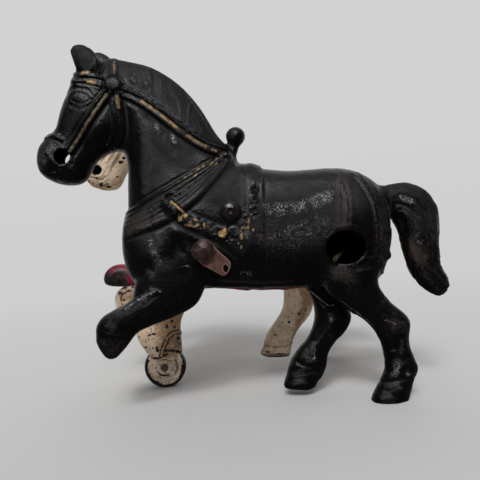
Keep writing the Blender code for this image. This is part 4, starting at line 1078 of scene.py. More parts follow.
def halves(whole, y0, warp, names, holes):
    """Splits the skin on its middle plane and hollows and drills each half."""
    done = []
    for name, lo, hi in ((names[0], y0 - 40, y0 - GAP / 2), (names[1], y0 + GAP / 2, y0 + 40)):
        half = whole.copy()
        half.data = whole.data.copy()
        half.name = name + "_whole"
        bpy.context.scene.collection.objects.link(half)
        cut(half, slab("box", (-120, lo, 0.0), (120, hi, 200)), "INTERSECT")
        cut(half, core("core", y0, warp))
        for x, z, a, b, r, rz in holes:
            if b > lo and a < hi:
                cut(half, rod_y("drill", x, z, a, b, r, 64, rz))
        done.append((name, rounded(half)))
    bpy.data.objects.remove(whole)
    return done


def shaded_hole_walls(ob, y0, holes):
    """Walls of the drilled holes get their own dull black without reflection: dark iron, mostly painted shade for the
    inside of the holes.
    """
    ob.data.materials.append(MATS["hole"])
    n = len(ob.data.polygons)
    c, no = np.empty(n * 3), np.empty(n * 3)
    ob.data.polygons.foreach_get("center", c)
    ob.data.polygons.foreach_get("normal", no)
    c, no = c.reshape(-1, 3) / MM, no.reshape(-1, 3)
    which = np.zeros(n, np.int32)
    for x, z, rx, rz in holes:
        d = np.hypot((c[:, 0] - x) / rx, (c[:, 2] - z) / rz)
        which[(d < 1.03) & (np.abs(no[:, 1]) < 0.45)] = 1
    ob.data.polygons.foreach_set("material_index", which)


def wear_and_painted_light(ob, gold, rub, dark, painted_light_and_pits=0.0):
    """Paint masks kept with the mesh: red gold or chips, green rubs or stains with some painted sheen and painted
    shade, blue painted shade, alpha pitting with painted glints (painted light on the cream horse).
    """
    n = len(ob.data.vertices)
    c = np.ones((n, 4), np.float32)
    c[:, 0], c[:, 1], c[:, 2], c[:, 3] = gold, rub, dark, painted_light_and_pits
    at = ob.data.color_attributes.new(name="wear_and_painted_light", type="FLOAT_COLOR", domain="POINT")
    at.data.foreach_set("color", np.clip(c, 0, 1).ravel())


def masked(ob, y0, warp, holes):
    mm = verts_of(ob)[0] / MM
    _, gold, rub, dark, painted_light_and_pits = reliefs(mm, y0, warp)
    # painted shade: the walls of the holes are darkened, and on the cream horse marked as chips of black iron
    for x, z, rad in holes:          # walls of the holes stay bare and dark
        k = ease((rad - np.hypot(mm[:, 0] - x, mm[:, 2] - z)) / 0.25)
        gold, rub, painted_light_and_pits, dark = gold * (1 - k), rub * (1 - k), painted_light_and_pits * (1 - k), np.maximum(dark, k)
        if warp:
            gold = np.maximum(gold, k)
    wear_and_painted_light(ob, gold, rub, dark, painted_light_and_pits)


# ---------------------------------------------------------------- materials
def shader(name, **fixed):
    m = bpy.data.materials.new(name)
    m.use_nodes = True
    t = m.node_tree
    b = t.nodes["Principled BSDF"]
    for k, v in fixed.items():
        b.inputs[k.replace("_", " ")].default_value = v
    return m, t, b


def node(t, kind, ins=None, **props):
    n = t.nodes.new(kind)
    for k, v in props.items():
        setattr(n, k, v)
    for k, v in (ins or {}).items():
        if isinstance(v, bpy.types.NodeSocket):
            t.links.new(v, n.inputs[k])
        else:
            n.inputs[k].default_value = v
    return n


def grain(t, size, detail=2.0, rough=0.5, shift=(0, 0, 0)):
    """Noise with features about size mm wide, 0 to 1."""
    co = node(t, "ShaderNodeTexCoord").outputs["Object"]
    if any(shift):
        co = node(t, "ShaderNodeVectorMath", {0: co, 1: shift}, operation="ADD").outputs[0]
    return node(t, "ShaderNodeTexNoise", {"Vector": co, "Scale": 1000.0 / size, "Detail": detail,
                                          "Roughness": rough}).outputs["Fac"]


def maths(t, op, a, b=0.0, clamp=False):
    return node(t, "ShaderNodeMath", {0: a, 1: b}, operation=op, use_clamp=clamp).outputs[0]


def step(t, v, lo, hi, a=0.0, b=1.0):
    return node(t, "ShaderNodeMapRange", {"Value": v, "From Min": lo, "From Max": hi, "To Min": a, "To Max": b},
                interpolation_type="SMOOTHSTEP").outputs[0]


def mixed(t, f, a, b):
    n = t.nodes.new("ShaderNodeMix")
    n.data_type = "RGBA"
    for i, v in ((0, f), (6, a), (7, b)):
        if isinstance(v, bpy.types.NodeSocket):
            t.links.new(v, n.inputs[i])
        else:
            n.inputs[i].default_value = v if i == 0 else (*v, 1.0)
    return n.outputs[2]


def masks(t):
    c = node(t, "ShaderNodeVertexColor", layer_name="wear_and_painted_light")
    s = node(t, "ShaderNodeSeparateColor", {0: c.outputs["Color"]})
    return s.outputs[0], s.outputs[1], s.outputs[2], c.outputs["Alpha"]


def bumpy(t, b, height, distance, strength=1.0):
    n = node(t, "ShaderNodeBump", {"Height": height, "Distance": distance * MM, "Strength": strength})
    t.links.new(n.outputs[0], b.inputs["Normal"])


def worn_mask(t, mask, size, lo, hi, amount=0.9, shift=(0, 0, 0)):
    """A painted mask with a ragged, rubbed-through edge."""
    n = maths(t, "MULTIPLY", maths(t, "SUBTRACT", grain(t, size, 3.0, 0.6, shift), 0.5), amount)
    return step(t, maths(t, "ADD", mask, n), lo, hi)


def black_enamel():
    m, t, b = shader("black_enamel", Specular_IOR_Level=0.35, Sheen_Weight=0.035, Sheen_Roughness=0.35)
    gold, rub, dark, painted_light_and_pits = masks(t)
    fine, mid, wide = grain(t, 0.55, 3.0, 0.65), grain(t, 3.0, 3.0), grain(t, 14.0, 2.0)
    base = mixed(t, step(t, wide, 0.35, 0.65), (0.0008, 0.0008, 0.0009), (0.0020, 0.0019, 0.0021))
    base = mixed(t, step(t, mid, 0.55, 0.72, 0.0, 0.4), base, (0.006, 0.0048, 0.0046))
    rubbed = worn_mask(t, rub, 1.0, 0.12, 0.95, 1.3)
    base = mixed(t, maths(t, "MULTIPLY", rubbed, 0.85), base, (0.032, 0.021, 0.018))
    specks = step(t, grain(t, 0.7, 2.0, 0.7, (0.3, 0, 0)), 0.66, 0.72, 0.0, 0.20)
    base = mixed(t, specks, base, (0.060, 0.043, 0.036))
    # painted shade: where the shade mask is set, rubbed brown and specks go back to near-black
    base = mixed(t, maths(t, "MULTIPLY", dark, 0.9), base, (0.0016, 0.0014, 0.0016))
    # painted glints: grey-white and purple specks laid into the colour where the glint mask is set
    clump = maths(t, "ADD", maths(t, "MULTIPLY", grain(t, 3.6, 2.0, 0.5, (0.6, 0, 0)), 0.45),
                  maths(t, "MULTIPLY", grain(t, 1.1, 2.0, 0.6, (0.9, 0, 0)), 0.42))
    clump = maths(t, "ADD", clump, maths(t, "MULTIPLY", painted_light_and_pits, 0.28))
    glint = step(t, maths(t, "ADD", grain(t, 0.36, 1.0, 0.5, (0.1, 0, 0)), clump), 1.12, 1.46)
    glint = maths(t, "MULTIPLY", glint, step(t, painted_light_and_pits, 0.02, 0.5))
    base = mixed(t, glint, base, mixed(t, step(t, painted_light_and_pits, 0.50, 0.85), (0.070, 0.046, 0.058), (0.42, 0.40, 0.41)))
    # painted highlight: a broken pale line along the edges marked for it
    edge = maths(t, "MULTIPLY", step(t, painted_light_and_pits, 0.86, 0.99), step(t, grain(t, 1.4, 2.0, 0.6, (0.8, 0, 0)), 0.32, 0.50))
    base = mixed(t, edge, base, (0.36, 0.35, 0.355))
    gilt = maths(t, "MULTIPLY", worn_mask(t, gold, 1.3, 0.50, 0.64, 0.75), 0.94)
    patchy = step(t, grain(t, 1.3, 3.0), 0.38, 0.62)
    dull = mixed(t, patchy, (0.040, 0.027, 0.014), (0.130, 0.088, 0.045))
    warm = mixed(t, patchy, (0.110, 0.062, 0.028), (0.36, 0.225, 0.105))
    rich = mixed(t, step(t, grain(t, 0.9, 3.0), 0.38, 0.60), (0.26, 0.145, 0.055), (0.62, 0.42, 0.17))
    tone = mixed(t, step(t, gold, 0.97, 1.0), mixed(t, step(t, gold, 0.68, 0.86), dull, warm), rich)
    base = mixed(t, gilt, base, tone)
    t.links.new(base, b.inputs["Base Color"])
    ro = maths(t, "ADD", step(t, mid, 0.3, 0.7, 0.17, 0.27), maths(t, "MULTIPLY", rubbed, 0.22))
    # the shade mask also makes the enamel rougher
    ro = maths(t, "ADD", ro, maths(t, "MULTIPLY", dark, 0.41))
    ro = maths(t, "ADD", ro, maths(t, "MULTIPLY", gilt, 0.15))
    ro = maths(t, "SUBTRACT", ro, maths(t, "MULTIPLY", painted_light_and_pits, 0.05))
    t.links.new(ro, b.inputs["Roughness"])
    height = maths(t, "MULTIPLY", fine, maths(t, "ADD", maths(t, "MULTIPLY", painted_light_and_pits, 2.0), 0.72))
    height = maths(t, "ADD", height, maths(t, "MULTIPLY", grain(t, 1.8, 2.0, 0.6), 0.30))
    bumpy(t, b, height, 0.24, 1.0)
    return m


def cream_enamel():
    m, t, b = shader("cream_enamel", Specular_IOR_Level=0.45)
    chip, stains_and_groove_shade, dark, painted_light = masks(t)
    fine, mid, wide = grain(t, 0.8, 3.0, 0.6), grain(t, 2.6, 4.0, 0.6), grain(t, 9.0, 3.0)
    base = mixed(t, step(t, wide, 0.35, 0.65), (0.72, 0.575, 0.42), (0.60, 0.445, 0.30))
    base = mixed(t, step(t, mid, 0.50, 0.70, 0.0, 0.66), base, (0.38, 0.225, 0.12))
    # painted light: the paint is brightened where the glint mask is set, on the off hind leg
    base = mixed(t, maths(t, "MULTIPLY", painted_light, 0.85), base, mixed(t, step(t, mid, 0.35, 0.62), (0.90, 0.76, 0.58), (0.74, 0.56, 0.38)))
    # stains, and painted shade in the grooves
    base = mixed(t, maths(t, "MULTIPLY", worn_mask(t, stains_and_groove_shade, 1.4, 0.25, 0.95, 1.5), 0.80), base, (0.30, 0.145, 0.060))
    # painted shade: dark brown in hollows and along straps
    base = mixed(t, maths(t, "MULTIPLY", worn_mask(t, dark, 1.2, 0.35, 0.9, 0.7), 0.75), base, (0.10, 0.06, 0.035))
    flecks = step(t, grain(t, 1.3, 3.0, 0.7, (0.7, 0, 0)), 0.635, 0.665)
    chips = maths(t, "MAXIMUM", worn_mask(t, chip, 1.0, 0.40, 0.56, 1.5), flecks)
    base = mixed(t, chips, base, (0.018, 0.013, 0.012))
    t.links.new(base, b.inputs["Base Color"])
    t.links.new(step(t, mid, 0.3, 0.7, 0.38, 0.55), b.inputs["Roughness"])
    height = maths(t, "SUBTRACT", maths(t, "ADD", fine, mid), maths(t, "MULTIPLY", chips, 0.9))
    bumpy(t, b, height, 0.22, 1.0)
    return m


def red_enamel():
    """Crimson where the mask says so, worn to brown-grey iron elsewhere."""
    m, t, b = shader("red_enamel", Specular_IOR_Level=0.5)
    red, rub, dark, _ = masks(t)
    fine, mid = grain(t, 0.8, 3.0, 0.6), grain(t, 2.4, 3.0)
    iron = mixed(t, step(t, mid, 0.35, 0.65), (0.012, 0.009, 0.0085), (0.045, 0.032, 0.028))
    paint = mixed(t, step(t, mid, 0.4, 0.7), (0.26, 0.006, 0.030), (0.17, 0.005, 0.018))
    base = mixed(t, worn_mask(t, red, 1.3, 0.36, 0.56, 1.0), iron, paint)
    # painted shade: darker where the shade mask is set
    base = mixed(t, maths(t, "MULTIPLY", dark, 0.8), base, (0.006, 0.004, 0.004))
    t.links.new(base, b.inputs["Base Color"])
    t.links.new(step(t, mid, 0.3, 0.7, 0.32, 0.5), b.inputs["Roughness"])
    bumpy(t, b, fine, 0.08, 0.8)
    return m


def wheel_enamel():
    """Cream faces, tread and bore rubbed to black iron."""
    m, t, b = shader("wheel_enamel", Specular_IOR_Level=0.45)
    worn, rub, dark, _ = masks(t)
    fine, mid = grain(t, 0.8, 3.0, 0.6), grain(t, 2.2, 4.0, 0.6)
    base = mixed(t, step(t, mid, 0.38, 0.66), (0.98, 0.84, 0.65), (0.80, 0.61, 0.42))
    base = mixed(t, step(t, grain(t, 1.3, 4.0, 0.65, (0.5, 0, 0)), 0.48, 0.64, 0.0, 0.85), base, (0.46, 0.28, 0.155))
    # painted shade: brown where the shade mask is set, round the hub and along the rim
    base = mixed(t, maths(t, "MULTIPLY", worn_mask(t, dark, 1.2, 0.3, 0.8, 0.8), 0.8), base, (0.22, 0.125, 0.07))
    chips = maths(t, "MAXIMUM", worn_mask(t, worn, 1.1, 0.36, 0.52, 1.1),
                  step(t, grain(t, 1.0, 3.0, 0.65, (0.2, 0, 0)), 0.625, 0.665))
    base = mixed(t, chips, base, (0.020, 0.015, 0.013))
    t.links.new(base, b.inputs["Base Color"])
    t.links.new(step(t, mid, 0.3, 0.7, 0.4, 0.55), b.inputs["Roughness"])
    bumpy(t, b, maths(t, "SUBTRACT", fine, chips), 0.12, 0.9)
    return m


def bare_iron(name, low, high, rough=(0.34, 0.5), metal=0.35):
    """Rubbed iron; edges lighter where the masks say so (worn iron, with painted highlight on the link) and hollows
    painted black as shade.
    """
    m, t, b = shader(name, Metallic=metal)
    _, rub, dark, _ = masks(t)
    fine, mid = grain(t, 0.7, 3.0, 0.6), grain(t, 2.0, 4.0, 0.6)
    base = mixed(t, step(t, mid, 0.3, 0.7), low, high)
    base = mixed(t, step(t, grain(t, 0.9, 3.0, 0.65, (0.4, 0, 0)), 0.62, 0.70, 0.0, 0.6), base, (0.012, 0.008, 0.008))
    bright = tuple(min(1.0, 1.9 * h + 0.03) for h in high)
    base = mixed(t, maths(t, "MULTIPLY", worn_mask(t, rub, 1.2, 0.3, 0.8, 0.8), 0.8), base, bright)
    # painted shade: hollows pushed to black
    base = mixed(t, maths(t, "MULTIPLY", dark, 0.95), base, (0.0015, 0.0012, 0.0012))
    t.links.new(base, b.inputs["Base Color"])
    t.links.new(step(t, mid, 0.3, 0.7, *rough), b.inputs["Roughness"])
    bumpy(t, b, maths(t, "ADD", fine, maths(t, "MULTIPLY", mid, 0.8)), 0.12, 0.9)
    return m


MATS = {
    "black": black_enamel(), "cream": cream_enamel(), "red": red_enamel(), "wheel": wheel_enamel(),
    "link": bare_iron("link_iron", (0.070, 0.032, 0.025), (0.150, 0.078, 0.060), (0.38, 0.52)),
    "pin": bare_iron("pin_iron", (0.022, 0.011, 0.010), (0.058, 0.030, 0.027), (0.30, 0.44)),
    "axle": bare_iron("axle_iron", (0.10, 0.075, 0.055), (0.22, 0.17, 0.125), (0.4, 0.5)),
    "rod": bare_iron("yellow_rod", (0.07, 0.058, 0.030), (0.21, 0.18, 0.10), (0.5, 0.65), 0.1),
    # hole walls: near-black without reflection, painted shade for the inside of the holes
    "hole": shader("hole_wall_painted_shade", Roughness=1.0, Specular_IOR_Level=0.0, Base_Color=(0.002, 0.0018, 0.0018, 1))[0],
    "rivet": bare_iron("rivet_enamel", (0.004, 0.0035, 0.0035), (0.014, 0.010, 0.009), (0.18, 0.28), 0.0),
}


def dress(ob, kind, node_name=None, body="team"):
    ob.data.materials.clear()
    ob.data.materials.append(MATS[kind])
    if node_name:
        ob.name = "look_" + node_name
        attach(ob, body)
        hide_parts(node_name)
    return ob


# ---------------------------------------------------------------- the two horses
D_NEAR = EYE - HORSE_Y - 13.0      # outer flank of the near horse
pin_x, pin_z = sheet(*PIN_XY, D_NEAR - 2)
riv_x, riv_z = sheet(*RIVET_XY, D_NEAR)
hole_x, hole_z = sheet(345.5, 245.0, D_NEAR + 1)
bit_x, bit_z = sheet(61.8, 156.0, EYE - HORSE_Y - 7.0)
obit_x, obit_z = sheet(97.0, 170.0, EYE + HORSE_Y - 7.0)
oriv_x, oriv_z = off_warp((riv_x, riv_z))
whl_x, whl_z = sheet(*WHEEL_XY, WHEEL_D)

y0 = -HORSE_Y
mass = horse_mass(y0, None, [(NEAR_FORE, y0 - 7, False), (NEAR_HIND, y0 - 7, False),
                             (NEAR_FORE_IN, y0 + 7, False), (NEAR_HIND_IN, y0 + 7, False)])
whole = skin("near_horse", mass, y0, None)
for name, h in halves(whole, y0, None, ("near_horse_outer_half", "near_horse_inner_half"), [
        (pin_x, pin_z, y0 - 30, y0 + 30, PIN_R + GAP, None),
        (riv_x, riv_z, y0 - 30, y0 + 30, RIVET_R + GAP, None),
        (bit_x, bit_z, y0 - 30, y0 + 2, 2.8, None),
        (hole_x, hole_z - 0.75, y0 - 30, y0 - 4, 7.0, 5.85)]):
    inside = "inner" in name
    if inside:                  # the far side of the bit hole is cast wider
        cut(h, cone_y("flare", [(y0 - 1, bit_x, bit_z, 2.8), (y0 + 8, bit_x - 0.60, bit_z + 0.05, 3.2),
                                (y0 + 12, bit_x - 0.60, bit_z + 0.05, 3.2)]))
        rounded(h)
    masked(h, y0, None, [(bit_x, bit_z, 2.85), (pin_x, pin_z, PIN_R + GAP + 0.1)])
    dress(h, "black", name)
    shaded_hole_walls(h, y0, [(bit_x - 0.3 * inside, bit_z, 3.0 + 0.5 * inside, 3.0 + 0.4 * inside),
                       (hole_x, hole_z - 0.75, 7.0, 5.85)])

y0 = HORSE_Y
mass = horse_mass(y0, off_warp, [(OFF_HIND_IN, y0 - 7, False), (OFF_HIND, y0 + 7, False),
                                 (OFF_FORE, y0 + 7, False), (WHEEL_LEG, 0, True)])
# plate behind the wheel that holds its axle
plate = [(whl_x - 5.2, whl_z + 9.5), (whl_x - 4.4, whl_z + 2.0), (whl_x - 3.0, whl_z - 3.2), (whl_x, whl_z - 4.6),
         (whl_x + 3.0, whl_z - 3.2), (whl_x + 4.4, whl_z + 2.0), (whl_x + 6.0, whl_z + 9.5)]
ring_mesh(mass, [[Vector((px, py, pz)) * MM for px, pz in plate] for py in (8.2, 11.6)])
fix_normals(mass)
whole = skin("off_horse", mass, y0, off_warp)
cut(whole, rod_y("slot", whl_x, whl_z, WHEEL_Y[0] - 0.4, WHEEL_Y[1] + 0.4, WHEEL_R + 0.5, 96))
cut(whole, rod_y("hub_room", whl_x, whl_z, -4.0, WHEEL_Y[0], 4.0, 64))
for name, h in halves(whole, y0, off_warp, ("off_horse_inner_half", "off_horse_outer_half"), [
        (pin_x, pin_z, y0 - 30, y0 + 30, PIN_R + GAP, None),
        (oriv_x, oriv_z, y0 - 30, y0 + 30, RIVET_R + GAP, None),
        (obit_x, obit_z, y0 - 30, y0 + 30, 2.06, None),
        (whl_x, whl_z, -1, 16, AXLE_R + 0.3, None)]):
    masked(h, y0, off_warp, [(obit_x, obit_z, 2.3), (pin_x, pin_z, PIN_R + GAP + 0.1)])
    dress(h, "cream", name)
    shaded_hole_walls(h, y0, [(obit_x, obit_z, 2.06, 2.06)])

# ---------------------------------------------------------------- rivets, pin, links
FLANK = HORSE_Y + 12.9
link_in = FLANK + 0.4
head_in = link_in + LINK_T + GAP


def hammered(ob, amount=0.06, size=1.6, seed=11):
    """Slight unevenness of hand-peened and cast pieces."""
    co, no = verts_of(ob)
    mm = co / MM
    move_to(ob, (mm + no * (amount * noise(mm, size, seed))[:, None]) * MM)
    return rounded(ob)


near_rivet = turned("r", list(reversed(dome(-FLANK + 0.25, -FLANK - 2.5, 3.75, 0.3, 14, 0.8)))
                    + [(-FLANK - 0.1, RIVET_R), (-HORSE_Y + 13.1, RIVET_R)]
                    + dome(-HORSE_Y + 13.1, -HORSE_Y + 14.5, 2.4, 0.4, 4), riv_x, riv_z, 72)
hammered(near_rivet, 0.08)
mm = verts_of(near_rivet)[0] / MM
rad = np.hypot(mm[:, 0] - riv_x, mm[:, 2] - riv_z)
# painted shade: the pit in the rivet head is darkened
wear_and_painted_light(near_rivet, rad * 0, rad * 0, ease((1.15 - rad) / 0.4))
dress(near_rivet, "rivet", "near_horse_rivet")
off_rivet = turned("r", list(reversed(dome(HORSE_Y - 13.1, HORSE_Y - 14.5, 2.4, 0.4, 4)))
                   + [(HORSE_Y - 13.1, RIVET_R), (FLANK + 0.1, RIVET_R)]
                   + dome(FLANK + 0.05, FLANK + 2.5, 3.25, 0.35, 12, 0.42), oriv_x, oriv_z, 72)
hammered(off_rivet)
wear_and_painted_light(off_rivet, *(np.zeros(len(off_rivet.data.vertices)),) * 3)
dress(off_rivet, "cream", "off_horse_rivet")
pin = turned("p", list(reversed(dome(-head_in, -head_in - 2.55, 3.9, 0.3, 14)))
             + [(-head_in, PIN_R), (head_in, PIN_R)]
             + dome(head_in, head_in + 2.55, 3.9, 0.3, 14), pin_x, pin_z, 72)
co, no = verts_of(pin)          # the heads are peened a little low and pear-shaped
mm = co / MM
head = np.abs(mm[:, 1]) > head_in - 0.01
up = np.maximum(mm[:, 2] - pin_z, 0) / 3.9
mm[head, 0] += 0.12 + 0.35 * up[head] - 0.35 * up[head] * (mm[head, 0] - pin_x) / 3.9
mm[head, 2] -= 0.40
move_to(pin, mm * MM)
hammered(pin, 0.13, 1.5)
rad = np.hypot(mm[:, 0] - pin_x - 0.2, mm[:, 2] - pin_z + 0.4)
wear_and_painted_light(pin, rad * 0, 0.75 * ease((rad - 3.2) / 0.5) * head, rad * 0)
dress(pin, "pin", "cross_pin")


LINK_SHAPE = [   # outline of the hanging link on the side drawing
    (200.5, 239.5), (205.2, 238.8), (208.5, 240.2), (212, 243.8), (216.3, 248.3), (222.5, 254.0), (228.2, 259.3),
    (230.6, 262.4), (231.1, 265.6), (230.0, 269.2), (227.9, 272.6), (225.6, 275.3), (222.8, 275.9), (219, 274.2),
    (214.5, 271.7), (209, 268.8), (203, 265.4), (198.4, 261.6), (195.2, 258.2), (193.6, 254.2), (193.3, 249.6),
    (194.4, 245.2), (197.0, 241.7)]
LINK_EYE = (225.6, 268.4)


def trace_link(node_name, a, b, body):
    """Flat cast plate with lighter edges, worn iron with painted highlight, hanging on the cross pin, with a long eye
    near its free end.
    """
    depth = EYE - FLANK - 0.9
    shape = smooth_rows(LINK_SHAPE + LINK_SHAPE[:1], 3)[:-1]
    mid = np.array([sheet(px, py, depth) for px, py in shape])
    out = np.roll(mid, -1, 0) - np.roll(mid, 1, 0)
    out = np.stack([-out[:, 1], out[:, 0]], 1) / np.hypot(*out.T)[:, None]
    rings = []
    for y, g in ((a, -0.30), (a + 0.07, -0.12), (a + 0.25, 0.0), (b - 0.25, 0.0), (b - 0.07, -0.12), (b, -0.30)):
        rings.append([Vector((x, y, z)) * MM for x, z in mid + out * g])
    bm = bmesh.new()
    ring_mesh(bm, rings)
    fix_normals(bm)
    ob = bm_object("l", bm)
    ex, ez = sheet(*LINK_EYE, depth)
    cut(ob, rod_y("bore", pin_x, pin_z, a - 2, b + 2, PIN_R + GAP, 48), solver="EXACT")
    cut(ob, rod_y("eye", ex, ez, a - 2, b + 2, 0.82, 32, 1.28), solver="EXACT")
    m = ob.modifiers.new("merge", "REMESH")
    m.mode, m.voxel_size = "VOXEL", 0.16 * MM
    s = ob.modifiers.new("ease", "SMOOTH")
    s.factor, s.iterations = 0.5, 2
    baked(ob)
    co, no = verts_of(ob)
    mm = co / MM
    edge = away(mm[:, 0], mm[:, 2], mid, True)[0]
    eye = np.hypot((mm[:, 0] - ex) / 0.82, (mm[:, 2] - ez) / 1.28)
    mm += no * (0.05 * noise(mm, 1.4, 41) - 0.05)[:, None]
    move_to(ob, mm * MM)
    # lighter edges and eye rim: worn iron with painted highlight; the wall of the eye darkened as painted shade
    wear_and_painted_light(ob, edge * 0, np.maximum(0.9 * ease((0.55 - edge) / 0.4), 0.7 * ease((1.7 - eye) / 0.5)), ease((1.06 - eye) / 0.06))
    rounded(ob, 35)
    return dress(ob, "link", node_name, body)


trace_link("near_trace_link", -link_in - LINK_T, -link_in, "near_link")
trace_link("off_trace_link", link_in, link_in + LINK_T, "off_link")

# ---------------------------------------------------------------- wheel and axle
a, b = WHEEL_Y
ob = turned("w", [(a - 0.7, AXLE_R + 0.08), (a - 0.7, 2.9), (a - 0.55, 3.15), (a - 0.2, 3.35), (a + 0.35, 3.55),
                  (a + 0.5, 3.9), (a + 0.52, 4.3), (a + 0.55, 4.7), (a + 0.55, 5.1), (a + 0.55, 5.5), (a + 0.52, 5.9),
                  (a + 0.5, 6.3), (a + 0.5, 6.6), (a + 0.35, 6.95), (a + 0.1, 7.3), (a, 7.7), (a, 8.2), (a + 0.1, 8.5),
                  (a + 0.35, 8.7), (a + 0.6, WHEEL_R), (b - 0.6, WHEEL_R), (b - 0.35, 8.7), (b - 0.1, 8.5), (b, 8.2),
                  (b, 7.7), (b - 0.1, 7.3), (b - 0.5, 6.9), (b - 0.5, 3.5), (b + 0.1, 3.3), (b + 0.1, AXLE_R + 0.08)],
            whl_x, whl_z, 128)
cut(ob, rod_y("bore", whl_x, whl_z, a - 3, b + 3, AXLE_R + 0.08, 48), solver="EXACT")
co, no = verts_of(ob)
mm = co / MM
rad = np.hypot(mm[:, 0] - whl_x, mm[:, 2] - whl_z)
out = rad > 2.0
mm[out] += no[out] * (0.05 * noise(mm[out], 1.5, 21) - 0.05)[:, None]
move_to(ob, mm * MM)
turn = np.degrees(np.arctan2(mm[:, 2] - whl_z, mm[:, 0] - whl_x))     # 0 to the rear, 90 up
low = ease((35 - np.where(turn > 150, turn - 360, turn)) / 50)        # worn most on the lower half
side = ease(1 - np.abs(turn) / 95)
tread = np.maximum.reduce([ease((rad - 8.25) / 0.35), low * ease((rad - 6.95 + 0.6 * noise(mm, 2.6, 24)) / 0.4),
                   0.8 * ease((rad - 7.9 + 0.5 * noise(mm, 2.0, 25)) / 0.4)])
# painted shade: brown round the hub boss and the axle, along the rim groove and in an arc on the rear side of the face
hub = ease(1 - np.abs(rad - 3.75) / 0.5) + ease((1.9 - rad) / 0.4)
under_hub = ease(1 - np.abs(rad - 3.75 + 0.4 * noise(mm, 1.5, 26)) / 0.75) * ease((-55 - turn) / 20) * ease((turn + 160) / 20)
dip = ease(1 - np.abs(rad - 5.2) / 1.3) * side
rimline = ease(1 - np.abs(rad - 7.15) / 0.5)
wear_and_painted_light(ob, np.maximum(0.9 * tread, 0.85 * under_hub), tread * 0,
     np.clip(0.6 * hub + 0.35 * rimline + 1.1 * dip + 0.3 * ease((rad - 7.7) / 0.6), 0, 1))
rounded(ob, 40)
dress(ob, "wheel", "front_wheel", "wheel")
axle = turned("a", list(reversed(dome(a - 1.0, a - 1.7, 1.6, 0.3, 6)))
              + [(a - 1.0, AXLE_R), (12.3, AXLE_R)] + dome(12.3, 13.3, 2.2, 0.3, 6), whl_x, whl_z, 48)
dress(hammered(axle, 0.04), "axle", "wheel_axle")

# ---------------------------------------------------------------- pole
POLE_BAR = [
    (104.4, 277.5, 104.4, 281, 0.9, 0), (106.5, 272, 106.5, 284.4, 2.6, 0), (111, 267.4, 111, 285.8, 3.8, 0),
    (117, 264.6, 117, 286.4, 4.3, 0), (124, 264.2, 124, 286.5, 4.4, 0), (132, 266.5, 132, 286.2, 3.9, 0),
    (141, 270, 141, 286, 2.8, 0),
    (152, 271, 152, 286, 2.2, 0), (180, 271, 180, 287, 2.2, 0), (210, 271, 210, 288.0, 2.2, 0),
    (232, 271, 232, 289.0, 2.2, 0),
    (240, 271, 240, 289.9, 2.2, 0), (247, 271, 247, 290.6, 2.2, 0), (253, 271, 253, 289.7, 2.2, 0),
    (261, 271, 261, 290.3, 2.2, 0), (268, 271, 268, 289.8, 2.2, 0), (277, 272, 277, 289.6, 2.2, 0),
    (285, 272, 285, 290.2, 2.2, 0), (291, 272, 291, 288.8, 2.2, 0), (300, 272, 300, 288.2, 2.2, 0), (336, 273, 336, 285, 2.2, 0),
]
bm = bmesh.new()
loft(bm, POLE_BAR, 0, seg=48, sub=5, power=2.8)
fix_normals(bm)
pole = bm_object("pole_look", bm)
rx, rz = sheet(336, 279, EYE)
cut(pole, turned("eye", [(-2.2, 5.9), (-1.9, 6.3), (1.9, 6.3), (2.2, 5.9)], pin_x, pin_z, 64), "UNION", "EXACT")
cut(pole, slab("web", (pin_x - 5.0, -1.9, sheet(202, 279, EYE)[1]), (pin_x + 5.0, 1.9, pin_z)), "UNION", "EXACT")
cut(pole, slab("tongue", (rx - 6, -4.6, rz - 1.7), (rx + 7, 4.6, rz + 1.7)), "UNION", "EXACT")
m = pole.modifiers.new("merge", "REMESH")
m.mode, m.voxel_size = "VOXEL", 0.4 * MM
s = pole.modifiers.new("ease", "SMOOTH")
s.factor, s.iterations = 0.5, 3
baked(pole)
cut(pole, rod_y("bore", pin_x, pin_z, -10, 10, PIN_R + GAP, 48))
bm = bmesh.new()
ring_mesh(bm, [[Vector((rx + 2.6 + 2.3 * math.cos(2 * math.pi * i / 48), 2.3 * math.sin(2 * math.pi * i / 48), z)) * MM
                for i in range(48)] for z in (rz - 8, rz + 8)])
fix_normals(bm)
cut(pole, bm_object("hitch_hole", bm))
co, no = verts_of(pole)
mm = co / MM
mm = mm + no * (0.07 * noise(mm, 2.2, 31) + 0.03 * noise(mm, 1.0, 32))[:, None]
move_to(pole, mm * MM)
px, py = on_sheet(mm, EYE + mm[:, 1])
r = Relief(px, py)
r.line(curve([(112, 270.5), (117, 267), (124, 266.6), (129, 270), (132, 276)]), 3.8, 0.0, flat=2.0, gold=1.0)
r.plate([(126, 278), (131, 274), (142, 268), (142, 292), (132, 289)], 0.0, 1.6, gold=1.0)
# painted shade: darker on the nose of the pole and along a crease
r.plate([(100, 276), (122, 278), (126, 292), (104, 292)], 0.0, 3.0, dark=0.8)
r.line(curve([(107, 272), (112, 267.5), (119, 271), (123, 278), (124, 284)]), 2.0, 0.0, dark=0.7)
red = np.maximum(r.gold, 0.95 * ease((px - 134) / 4) - 0.45 * ease((px - 190) / 20))
wear_and_painted_light(pole, red, red * 0, r.dark)
rounded(pole)
dress(pole, "red", "pole")

# ---------------------------------------------------------------- pieces shown as they are in the frame
for name, kind, slot in (("near_pole_sleeve", "pin", "bare_iron"), ("off_pole_sleeve", "pin", "bare_iron"),
                         ("haunch_rod", "rod", "yellow_rod")):
    dress(NODES[name], kind)

# ---------------------------------------------------------------- floor, light, camera
PALE = 0.60
m, t, b = shader("pale_floor", Roughness=0.9, Specular_IOR_Level=0.1)
b.inputs["Base Color"].default_value = (0.725, 0.724, 0.722, 1)
